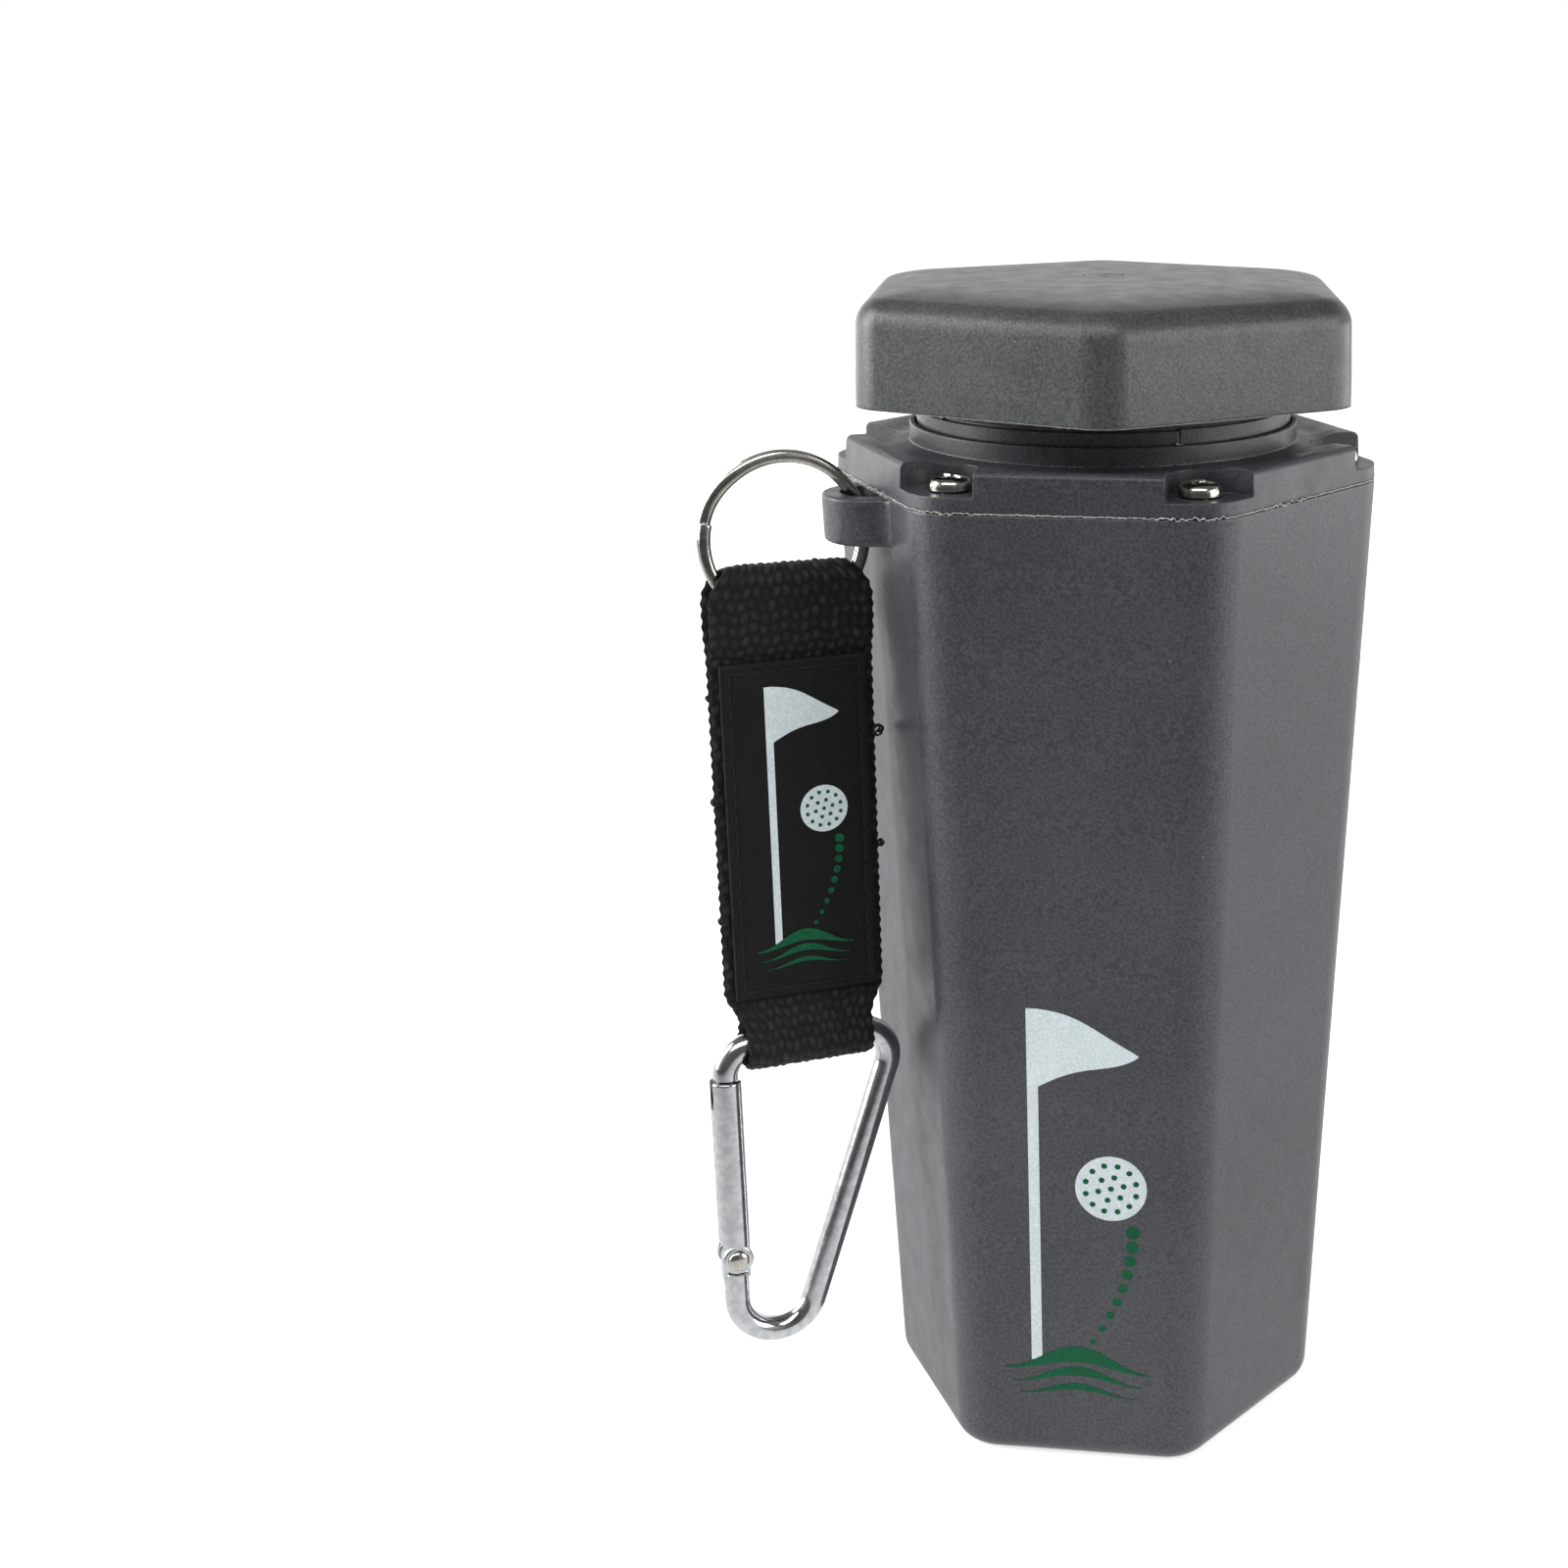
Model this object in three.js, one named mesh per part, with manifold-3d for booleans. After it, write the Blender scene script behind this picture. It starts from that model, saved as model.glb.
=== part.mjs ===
// Hand-held golf ball washer, built as a three.js scene graph. Millimetres, +Z up.
// A tapered hexagonal cup holds four upright wire brushes. A screwed collar closes its rim and
// carries a bayonet neck with two long guide rails. A flat paddle with a round ball hole slides
// in the rails and hangs from the twist cap by a swivel screw. A webbing strap with a split ring
// and a snap hook hangs from the lug under the collar.
// The origin is the middle of the base, the broad front face looks to -Y, and a heading is
// counted in degrees from the front face towards -X. The cap stands at its open angle.

import * as THREE from 'three';
import { mergeVertices } from 'three/addons/utils/BufferGeometryUtils.js';
import Module from 'manifold-3d';

const wasm = await Module();
wasm.setup();

// Cup: the hexagonal body with its floor and wall
const BODY_HEIGHT = 155;
const BODY_FLATS_TOP = 74;
const BODY_FLATS_BASE = 62.4;
const BODY_CORNER_TOP = 9;
const BODY_CORNER_BASE = 8;
const BODY_WALL = 2.5;
const BODY_FLOOR = 3;
const BASE_FILLET = 4;

// Rim rebate and its rubber seal
const REBATE_LIP = 1.2;
const SEAL_HEIGHT = 1.4;
const SEAL_WIDTH = 0.9;
const SEAL_CLEARANCE = 0.3;

// Collar screws, their bosses in the cup and their pockets in the collar
const SCREW_EDGE_INSET = 5.75;
const SCREW_HEAD_RADIUS = 3.1;
const SCREW_HEAD_HEIGHT = 2;
const SCREW_SHANK_RADIUS = 1.5;
const SCREW_LENGTH = 18;
const SCREW_RECESS_WIDTH = 0.9;
const SCREW_RECESS_DEPTH = 1;
const RECESS_ARM_SHARE = 2 / 3;
const HEAD_EDGE_SHARE = 1 / 3;
const SCREW_CLEARANCE = 0.35;
const BOSS_RADIUS = 4.2;
const BOSS_LENGTH = 24;
const POCKET_RADIUS = 4.4;
const POCKET_WALL = 1.5;
const POCKET_FLOOR = 2;

// Collar plate, skirt and the raised ring round the neck
const SEAM_GAP = 0.3;
const COLLAR_HEIGHT = 5.7;
const COLLAR_SKIRT = 2.3;
const COLLAR_PLATE = 2;
const COLLAR_EDGE = 0.6;
const COLLAR_DRAFT = 0.3;
const DISH_DEPTH = 0.9;
const DISH_RIM = 1.5;
const DISH_FOOT_SHARE = 1 / 3;
const RING_HEIGHT = 2.5;
const RING_WALL = 0.75;
const RING_GROOVE = 0.35;
const RING_GROOVE_DEPTH = 1.8;

// Neck and its bayonet flange
const NECK_BORE_RADIUS = 25.9;
const NECK_WALL = 2.1;
const NECK_HEIGHT = 18.7;
const NECK_FOOT_STEP = 0.3;
const NECK_FOOT_HEIGHT = 10.6;
const FLANGE_REACH = 1.4;
const FLANGE_THICKNESS = 2.8;
const ENTRY_HEADING = 43;
const ENTRY_SPAN = 26;
const STOP_SPAN = 3.5;
const STOP_SLACK = 1;

// Guide rails that hang from the neck into the cup
const RAIL_HEADING = 60;
const RAIL_CHANNEL_WIDTH = 7.6;
const RAIL_RIB = 1.8;
const RAIL_BACK = 1.6;
const RAIL_DEPTH = 2.6;
const RAIL_FLOOR_CUT = 0.1;
const RAIL_END_HEIGHT = 14;

// Brushes: twisted wire cores with fine strands, and the sockets for their ends
const BRUSH_HEADINGS = [0, 120, 180, 300];
const WIRE_RADIUS = 1.2;
const WIRE_SIDES = 8;
const WIRE_WALL_OFFSET_TOP = 5;
const WIRE_WALL_OFFSET_BASE = 4.2;
const WIRE_SOCKET_DEPTH = 3;
const WIRE_CLEARANCE = 0.35;
const SOCKET_RADIUS = 3.2;
const SOCKET_HEIGHT = 5;
const STRAND_RADIUS = 0.28;
const STRAND_LENGTH = 12;
const STRAND_WALL_CLEARANCE = 0.5;
const STRANDS_PER_BRUSH = 96;
const STRAND_BARE_END = 6;
const STRAND_TURN_DEG = 137.5;

// Ball paddle
const BALL_HOLE_RADIUS = 21.7;
const PADDLE_THICKNESS = 6.8;
const PADDLE_CLEARANCE = 0.5;
const PADDLE_FLOOR_GAP = 3;
const PADDLE_BOTTOM_WEB = 3.4;
const PADDLE_EDGE_RAIL = 5.5;
const PADDLE_STEM_WIDTH = 9;
const PADDLE_HEAD_HEIGHT = 10;
const PADDLE_WEB = 4;
const PADDLE_CORNER = 3;
const PADDLE_BEVEL = 0.5;
const PADDLE_HUB_RADIUS = 7;
const PADDLE_TOP_DROP = 3;

// Cap, its bayonet insert and its gasket
const CAP_FLATS = 71.65;
const CAP_CORNER = 7;
const CAP_BOTTOM_ABOVE_COLLAR = 6.6;
const CAP_HEIGHT = 16.8;
const CAP_FILLET = 5.5;
const CAP_WALL = 2.5;
const CAP_DRAFT = 0.25;
const CAP_TURN_DEG = 37.75;
const RUNNING_GAP = 0.4;
const SEAT_GAP = 0.3;
const GASKET_THICKNESS = 1.2;
const INSERT_WALL = 2;
const INSERT_PLATE = 2.4;
const LUG_SPAN = 22;
const LUG_THICKNESS = 2.1;

// Swivel screw and washer between the paddle and the cap insert
const SWIVEL_SHOULDER_RADIUS = 3;
const SWIVEL_THREAD_RADIUS = 2;
const SWIVEL_THREAD_LENGTH = 9;
const SWIVEL_HEAD_RADIUS = 4.6;
const SWIVEL_HEAD_HEIGHT = 1.8;
const WASHER_RADIUS = 6;
const WASHER_THICKNESS = 0.8;

// Strap lug on the cup
const EYE_RADIUS = 4.7;
const EYE_WALL = 2.7;
const EYE_HEIGHT = 7;
const EYE_DROP = 0.3;

// Split ring
const SPLIT_RING_RADIUS = 12;
const SPLIT_WIRE = 2;
const SPLIT_GROOVE = 0.3;
const SPLIT_RING_OUT = 13.5;
const SPLIT_RING_DROP = 6;

// Webbing strap and its sewn label
const WEBBING_WIDTH = 25;
const WEBBING_LENGTH = 80;
const WEBBING_LAYER = 1.5;
const WEBBING_FOLD_DROP = 3.3;
const WEBBING_POCKET_CLEARANCE = 0.4;
const WEBBING_SHOULDER = 6;
const WEBBING_TAPER = 3;
const WEBBING_FLARE = 7.5;
const LABEL_WIDTH = 22.5;
const LABEL_THICKNESS = 0.6;
const LABEL_GAP = 0.2;
const LABEL_TOP_INSET = 14.5;
const LABEL_BOTTOM_INSET = 12.5;

// Snap hook: bent rod, sprung gate and rivet
const HOOK_WIDTH = 26.5;
const HOOK_LENGTH = 50.5;
const HOOK_ROD_RADIUS = 2;
const HOOK_CORNER = 5;
const HOOK_NOSE_RADIUS = 6.5;
const HOOK_BAR_CLEARANCE = 0.8;
const HOOK_SIDE_ROOM = 3.15;
const GATE_RADIUS = 2.5;
const GATE_HINGE_RISE = 8.2;
const GATE_SLOT = 2.4;
const TONGUE_THICKNESS = 1.8;
const TONGUE_RADIUS = 2.2;
const RIVET_RADIUS = 0.85;
const RIVET_HEAD_RADIUS = 1.7;
const RIVET_HEAD_THICKNESS = 0.6;
const RIVET_CLEARANCE = 0.2;

// Facet counts and the overrun that cutters have beyond what they cut
const CORNER_STEPS = 5;
const WIDE_CORNER_STEPS = 7;
const NOSE_STEPS = 10;
const FILLET_STEPS = 4;
const FOLD_STEPS = 5;
const SECTOR_STEPS = 3;
const POCKET_STEPS = 5;
const CROWN_STEPS = 3;
const LARGE_ROUND = 60;
const SMALL_ROUND = 20;
const TINY_ROUND = 12;
const ROD_SIDES = 10;
const CUT_OVERRUN = 1;

// Places that follow from the sizes above
const FULL_TURN = 2 * Math.PI;
const HEX_COS = Math.cos(Math.PI / 6);
const COLLAR_BASE_Z = BODY_HEIGHT + SEAM_GAP;
const COLLAR_TOP_Z = COLLAR_BASE_Z + COLLAR_HEIGHT;
const NECK_OUTER_RADIUS = NECK_BORE_RADIUS + NECK_WALL;
const NECK_TOP_Z = COLLAR_BASE_Z + NECK_HEIGHT;
const FLANGE_RADIUS = NECK_OUTER_RADIUS + FLANGE_REACH;
const CAP_BOTTOM_Z = COLLAR_TOP_Z + CAP_BOTTOM_ABOVE_COLLAR;
const CAP_TOP_Z = CAP_BOTTOM_Z + CAP_HEIGHT;
const GASKET_Z = NECK_TOP_Z + SEAT_GAP;
const PLATE_Z = GASKET_Z + GASKET_THICKNESS + SEAT_GAP;
const SCREW_CIRCLE = cornerReach(BODY_FLATS_TOP, BODY_CORNER_TOP) - SCREW_EDGE_INSET;
const POCKET_FLOOR_Z = COLLAR_BASE_Z + POCKET_FLOOR;
const CHANNEL_RADIUS = NECK_BORE_RADIUS + RAIL_FLOOR_CUT;
const PADDLE_HALF_WIDTH = CHANNEL_RADIUS - PADDLE_CLEARANCE;
const EYE_TOP_Z = BODY_HEIGHT - EYE_DROP;

// Colours, roughness and metalness of the materials
const greyPlastic = new THREE.MeshStandardMaterial({ color: 0x55575b, roughness: 0.6, metalness: 0 });
const blackRubber = new THREE.MeshStandardMaterial({ color: 0x1b1b1c, roughness: 0.8, metalness: 0 });
const steel = new THREE.MeshStandardMaterial({ color: 0xc9c9c6, roughness: 0.3, metalness: 1 });
const aluminium = new THREE.MeshStandardMaterial({ color: 0xd5d7da, roughness: 0.25, metalness: 1 });
const brushFibre = new THREE.MeshStandardMaterial({ color: 0xe4e2da, roughness: 0.7, metalness: 0 });
const blackWebbing = new THREE.MeshStandardMaterial({ color: 0x141416, roughness: 0.95, metalness: 0 });

// Outlines and headings

function radians(degrees) {
  return THREE.MathUtils.degToRad(degrees);
}

// Turn about Z that brings local +X to a heading, counted from -Y towards -X
function headingTurn(heading) {
  return -Math.PI / 2 - radians(heading);
}

// Distance from the axis to the tip of a rounded hexagon corner
function cornerReach(acrossFlats, cornerRadius) {
  return (acrossFlats / 2 - cornerRadius) / HEX_COS + cornerRadius;
}

// Rounded hexagon with corners on the X axis, as one ring of points at a height
function hexagonRing(acrossFlats, cornerRadius, z) {
  const ring = [];
  const reach = (acrossFlats / 2 - cornerRadius) / HEX_COS;
  for (let corner = 0; corner < 6; corner += 1) {
    const middle = (corner * FULL_TURN) / 6;
    for (let step = 0; step <= CORNER_STEPS; step += 1) {
      const angle = middle + ((step / CORNER_STEPS - 1 / 2) * FULL_TURN) / 6;
      ring.push(new THREE.Vector3(
        reach * Math.cos(middle) + cornerRadius * Math.cos(angle),
        reach * Math.sin(middle) + cornerRadius * Math.sin(angle),
        z,
      ));
    }
  }
  return ring;
}

// Across flats and corner radius of the tapered cup at a height, drawn in by an offset
function cupRing(z, offset, atHeight = z) {
  const share = z / BODY_HEIGHT;
  const flats = THREE.MathUtils.lerp(BODY_FLATS_BASE, BODY_FLATS_TOP, share);
  const corner = THREE.MathUtils.lerp(BODY_CORNER_BASE, BODY_CORNER_TOP, share);
  return hexagonRing(flats - 2 * offset, corner - offset, atHeight);
}

// Distance from the axis to the middle of a cup face at a height
function cupFace(z) {
  return THREE.MathUtils.lerp(BODY_FLATS_BASE, BODY_FLATS_TOP, z / BODY_HEIGHT) / 2;
}

// Closed surfaces and booleans

// Closed skin through rings of equal point count, with both ends filled
function loft(rings) {
  const count = rings[0].length;
  const positions = rings.flat().flatMap((point) => [point.x, point.y, point.z]);
  const faces = [];
  for (let level = 0; level + 1 < rings.length; level += 1) {
    for (let i = 0; i < count; i += 1) {
      const a = level * count + i;
      const b = level * count + ((i + 1) % count);
      faces.push(a, b, b + count, a, b + count, a + count);
    }
  }
  const last = (rings.length - 1) * count;
  for (let i = 1; i + 1 < count; i += 1) {
    faces.push(0, i + 1, i, last, last + i, last + i + 1);
  }
  const geometry = new THREE.BufferGeometry();
  geometry.setAttribute('position', new THREE.Float32BufferAttribute(positions, 3));
  geometry.setIndex(faces);
  return geometry;
}

// Signed volume of an indexed closed surface, negative when it is inside out
function signedVolume(positions, faces) {
  const corners = [0, 1, 2].map(() => new THREE.Vector3());
  let total = 0;
  for (let i = 0; i < faces.length; i += 3) {
    corners.forEach((corner, k) => corner.fromArray(positions, 3 * faces[i + k]));
    total += corners[0].dot(corners[1].cross(corners[2])) / 6;
  }
  return total;
}

// Three.js geometry as a solid that can be joined and cut
function solidOf(geometry) {
  const bare = geometry.clone();
  bare.deleteAttribute('normal');
  bare.deleteAttribute('uv');
  const welded = mergeVertices(bare);
  const vertProperties = new Float32Array(welded.attributes.position.array);
  const triVerts = new Uint32Array(welded.index.array);
  if (signedVolume(vertProperties, triVerts) < 0) {
    for (let i = 0; i < triVerts.length; i += 3) {
      [triVerts[i], triVerts[i + 1]] = [triVerts[i + 1], triVerts[i]];
    }
  }
  return new wasm.Manifold(new wasm.Mesh({ numProp: 3, vertProperties, triVerts }));
}

function joined(solids) {
  return solids.reduce((whole, solid) => whole.add(solid));
}

function cutBy(solid, cutters) {
  return cutters.reduce((rest, cutter) => rest.subtract(cutter), solid);
}

function geometryOf(solid) {
  const mesh = solid.getMesh();
  const geometry = new THREE.BufferGeometry();
  geometry.setAttribute('position', new THREE.Float32BufferAttribute(mesh.vertProperties, 3));
  geometry.setIndex(new THREE.BufferAttribute(mesh.triVerts, 1));
  geometry.computeVertexNormals();
  return geometry;
}

// Upright solid of revolution from a closed profile of [radius, height] points
function revolved(profile, segments = LARGE_ROUND) {
  const points = [...profile, profile[0]].map(([radius, height]) => new THREE.Vector2(radius, height));
  return solidOf(new THREE.LatheGeometry(points, segments).rotateX(Math.PI / 2));
}

// Upright cylinder between two heights at a place
function post(radius, bottom, top, x = 0, y = 0, segments = SMALL_ROUND) {
  const geometry = new THREE.CylinderGeometry(radius, radius, top - bottom, segments);
  return solidOf(geometry.rotateX(Math.PI / 2).translate(x, y, (bottom + top) / 2));
}

// Cylinder along Y, centred on Y = 0, at a place in the X and Z plane
function crossPin(radius, length, x, z, segments = SMALL_ROUND) {
  return solidOf(new THREE.CylinderGeometry(radius, radius, length, segments).translate(x, 0, z));
}

// Box between two corners
function block(low, high) {
  const size = high.map((value, axis) => value - low[axis]);
  const middle = high.map((value, axis) => (value + low[axis]) / 2);
  return solidOf(new THREE.BoxGeometry(...size).translate(...middle));
}

// Flat outline in the X and Z plane, given a thickness centred on Y = 0
function plateSolid(shape, thickness, bevel = 0) {
  const geometry = new THREE.ExtrudeGeometry(shape, {
    depth: thickness - 2 * bevel,
    bevelEnabled: bevel > 0,
    bevelThickness: bevel,
    bevelSize: bevel,
    bevelOffset: -bevel,
    bevelSegments: 1,
    curveSegments: SECTOR_STEPS,
    steps: 1,
  });
  return solidOf(geometry.translate(0, 0, bevel - thickness / 2).rotateX(Math.PI / 2));
}

// Part of a ring between two headings and two heights
function ringSector(inner, outer, fromHeading, toHeading, bottom, top) {
  const start = headingTurn(toHeading);
  const end = headingTurn(fromHeading);
  const shape = new THREE.Shape();
  shape.absarc(0, 0, outer, start, end, false);
  shape.absarc(0, 0, inner, end, start, true);
  const geometry = new THREE.ExtrudeGeometry(shape, {
    depth: top - bottom,
    bevelEnabled: false,
    curveSegments: SECTOR_STEPS,
  });
  return solidOf(geometry.translate(0, 0, bottom));
}

// Rectangle with rounded corners, as a shape or as a hole
function roundedRectangle(path, left, bottom, right, top, radius) {
  path.moveTo(left + radius, bottom);
  path.lineTo(right - radius, bottom);
  path.absarc(right - radius, bottom + radius, radius, -Math.PI / 2, 0, false);
  path.lineTo(right, top - radius);
  path.absarc(right - radius, top - radius, radius, 0, Math.PI / 2, false);
  path.lineTo(left + radius, top);
  path.absarc(left + radius, top - radius, radius, Math.PI / 2, Math.PI, false);
  path.lineTo(left, bottom + radius);
  path.absarc(left + radius, bottom + radius, radius, Math.PI, (3 * Math.PI) / 2, false);
  return path;
}

// Turn a solid that was made along local +X to a heading
function towards(solid, heading) {
  return solid.rotate([0, 0, THREE.MathUtils.radToDeg(headingTurn(heading))]);
}

// The six hexagon corners, as places on the screw circle
function screwPlaces() {
  return Array.from({ length: 6 }, (_, corner) => {
    const angle = (corner * FULL_TURN) / 6;
    return [SCREW_CIRCLE * Math.cos(angle), SCREW_CIRCLE * Math.sin(angle)];
  });
}

// Wire places of the brushes at the floor and under the collar

const WIRE_BASE_Z = BODY_FLOOR + SOCKET_HEIGHT - WIRE_SOCKET_DEPTH;
const WIRE_TOP_Z = COLLAR_BASE_Z - SOCKET_HEIGHT + WIRE_SOCKET_DEPTH;
const WIRE_BASE_REACH = cupFace(WIRE_BASE_Z) - BODY_WALL - WIRE_WALL_OFFSET_BASE;
const WIRE_TOP_REACH = cupFace(WIRE_TOP_Z) - BODY_WALL - WIRE_WALL_OFFSET_TOP;
const WIRE_LEAN = Math.atan2(WIRE_TOP_REACH - WIRE_BASE_REACH, WIRE_TOP_Z - WIRE_BASE_Z);
const WIRE_LENGTH = Math.hypot(WIRE_TOP_REACH - WIRE_BASE_REACH, WIRE_TOP_Z - WIRE_BASE_Z);

// Cup

// Half-round strap lug on one face, with a D-shaped eye between it and the face
function strapLug() {
  const face = cupFace(BODY_HEIGHT);
  const bottom = EYE_TOP_Z - EYE_HEIGHT;
  const outer = post(EYE_RADIUS + EYE_WALL, bottom, EYE_TOP_Z, face, 0, LARGE_ROUND / 2);
  const eye = post(EYE_RADIUS, bottom - CUT_OVERRUN, EYE_TOP_Z + CUT_OVERRUN, face, 0, LARGE_ROUND / 2);
  const reach = EYE_RADIUS + EYE_WALL + CUT_OVERRUN;
  const behind = block(
    [face - reach, -reach, bottom - CUT_OVERRUN],
    [face - BODY_WALL / 2, reach, EYE_TOP_Z + CUT_OVERRUN],
  );
  return towards(cutBy(outer, [eye, behind]), RAIL_HEADING);
}

function bodyShell() {
  const rebateZ = BODY_HEIGHT - SEAL_HEIGHT - SEAL_CLEARANCE;
  const rings = [];
  for (let step = 0; step <= FILLET_STEPS; step += 1) {
    const angle = (step / FILLET_STEPS) * (Math.PI / 2);
    const drawnIn = BASE_FILLET * (1 - Math.sin(angle));
    rings.push(cupRing(BASE_FILLET, drawnIn, BASE_FILLET * (1 - Math.cos(angle))));
  }
  rings.push(cupRing(BODY_HEIGHT, 0));
  rings.push(cupRing(BODY_HEIGHT, REBATE_LIP));
  rings.push(cupRing(rebateZ, REBATE_LIP));
  rings.push(cupRing(rebateZ, BODY_WALL));
  rings.push(cupRing(BODY_FLOOR + BASE_FILLET / 2, BODY_WALL));
  rings.push(cupRing(BODY_FLOOR + BASE_FILLET / 2, BODY_WALL + BASE_FILLET / 2, BODY_FLOOR));

  const cavityEdge = solidOf(loft([cupRing(0, BODY_WALL / 2), cupRing(rebateZ, BODY_WALL / 2)]));
  const bosses = screwPlaces().map(([x, y]) => post(BOSS_RADIUS, rebateZ - BOSS_LENGTH, rebateZ, x, y));
  const pilots = screwPlaces().map(([x, y]) => post(
    SCREW_SHANK_RADIUS + SCREW_CLEARANCE,
    POCKET_FLOOR_Z - SCREW_LENGTH - CUT_OVERRUN,
    rebateZ + CUT_OVERRUN,
    x,
    y,
    TINY_ROUND,
  ));
  const sockets = BRUSH_HEADINGS.map((heading) => {
    const cup = post(SOCKET_RADIUS, BODY_FLOOR / 2, BODY_FLOOR + SOCKET_HEIGHT, WIRE_BASE_REACH, 0);
    return towards(cup, heading);
  });
  const socketHoles = BRUSH_HEADINGS.map((heading) => towards(post(
    WIRE_RADIUS + WIRE_CLEARANCE,
    WIRE_BASE_Z - WIRE_CLEARANCE,
    BODY_FLOOR + SOCKET_HEIGHT + CUT_OVERRUN,
    WIRE_BASE_REACH,
    0,
    TINY_ROUND,
  ), heading));
  const inside = joined([...bosses, ...sockets]).intersect(cavityEdge);
  const shell = joined([solidOf(loft(rings)), inside, strapLug()]);
  return cutBy(shell, [...pilots, ...socketHoles]);
}

function rimSeal() {
  const bottom = BODY_HEIGHT - SEAL_HEIGHT;
  const outer = REBATE_LIP + SEAL_CLEARANCE / 2;
  const inner = outer + SEAL_WIDTH;
  const ring = loft([cupRing(BODY_HEIGHT, outer, bottom), cupRing(BODY_HEIGHT, outer)]);
  const opening = loft([
    cupRing(BODY_HEIGHT, inner, bottom - CUT_OVERRUN),
    cupRing(BODY_HEIGHT, inner, BODY_HEIGHT + CUT_OVERRUN),
  ]);
  return solidOf(ring).subtract(solidOf(opening));
}

// Cross-recessed pan-head screw, its seat at height zero and its shank down
function panScrew(headRadius, headHeight, shankRadius, shankLength) {
  const crown = [];
  for (let step = 0; step <= CROWN_STEPS; step += 1) {
    const angle = (step / CROWN_STEPS) * (Math.PI / 2);
    const rise = HEAD_EDGE_SHARE + (1 - HEAD_EDGE_SHARE) * Math.sin(angle);
    crown.push([headRadius * Math.cos(angle), headHeight * rise]);
  }
  const tip = shankRadius / 2;
  const profile = [
    [0, -shankLength],
    [tip, -shankLength],
    [shankRadius, -shankLength + shankRadius],
    [shankRadius, 0],
    [headRadius, 0],
    ...crown,
  ];
  profile[profile.length - 1][0] = 0;
  const arm = headRadius * RECESS_ARM_SHARE;
  const half = SCREW_RECESS_WIDTH / 2;
  const floor = headHeight - SCREW_RECESS_DEPTH;
  const roof = headHeight + CUT_OVERRUN;
  const body = solidOf(new THREE.LatheGeometry(
    profile.map(([radius, height]) => new THREE.Vector2(radius, height)),
    TINY_ROUND,
  ).rotateX(Math.PI / 2));
  return cutBy(body, [
    block([-arm, -half, floor], [arm, half, roof]),
    block([-half, -arm, floor], [half, arm, roof]),
  ]);
}

// Collar with its neck, bayonet flange, rails and brush sockets

// U-shaped guide rail: two ribs joined by a back, from the neck rim down into the cup
function guideRail(heading) {
  const half = RAIL_CHANNEL_WIDTH / 2;
  const inner = CHANNEL_RADIUS - RAIL_DEPTH;
  const outer = CHANNEL_RADIUS + RAIL_BACK;
  const whole = block([inner, -half - RAIL_RIB, RAIL_END_HEIGHT], [outer, half + RAIL_RIB, NECK_TOP_Z]);
  return towards(whole, heading);
}

function railChannel(heading) {
  const half = RAIL_CHANNEL_WIDTH / 2;
  const channel = block(
    [CHANNEL_RADIUS - RAIL_DEPTH - CUT_OVERRUN, -half, RAIL_END_HEIGHT - CUT_OVERRUN],
    [CHANNEL_RADIUS, half, NECK_TOP_Z + CUT_OVERRUN],
  );
  return towards(channel, heading);
}

// Screw pocket at a corner: round behind the screw, with side walls square to the two flats
function screwPocket(corner) {
  const square = Math.PI / 6;
  const start = Math.PI / 2 + square;
  const run = BODY_FLATS_TOP / 2;
  const [x, y] = [Math.cos(start), Math.sin(start)].map((share) => share * POCKET_RADIUS);
  const [alongX, alongY] = [Math.cos(square), Math.sin(square)].map((share) => share * run);
  const shape = new THREE.Shape();
  shape.absarc(0, 0, POCKET_RADIUS, start, FULL_TURN - start, false);
  shape.lineTo(x + alongX, -y - alongY);
  shape.lineTo(x + alongX, y + alongY);
  const geometry = new THREE.ExtrudeGeometry(shape, {
    depth: COLLAR_TOP_Z + CUT_OVERRUN - POCKET_FLOOR_Z,
    bevelEnabled: false,
    curveSegments: POCKET_STEPS,
  });
  geometry.translate(SCREW_CIRCLE, 0, POCKET_FLOOR_Z).rotateZ((corner * FULL_TURN) / 6);
  return solidOf(geometry);
}

// Hexagonal plate with a skirt, hollow below and dished round the raised ring
function collarPlate() {
  const top = COLLAR_TOP_Z;
  const outside = solidOf(loft([
    cupRing(BODY_HEIGHT, 0, COLLAR_BASE_Z),
    cupRing(BODY_HEIGHT, COLLAR_DRAFT, top - COLLAR_EDGE),
    cupRing(BODY_HEIGHT, COLLAR_DRAFT + COLLAR_EDGE, top),
  ]));
  const hollow = solidOf(loft([
    cupRing(BODY_HEIGHT, COLLAR_SKIRT, COLLAR_BASE_Z - CUT_OVERRUN),
    cupRing(BODY_HEIGHT, COLLAR_SKIRT + COLLAR_DRAFT, top - COLLAR_PLATE - DISH_DEPTH),
  ]));
  const cups = screwPlaces().map(([x, y]) => post(POCKET_RADIUS + POCKET_WALL, BODY_HEIGHT, top, x, y));
  return outside.subtract(cutBy(hollow, cups));
}

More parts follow.
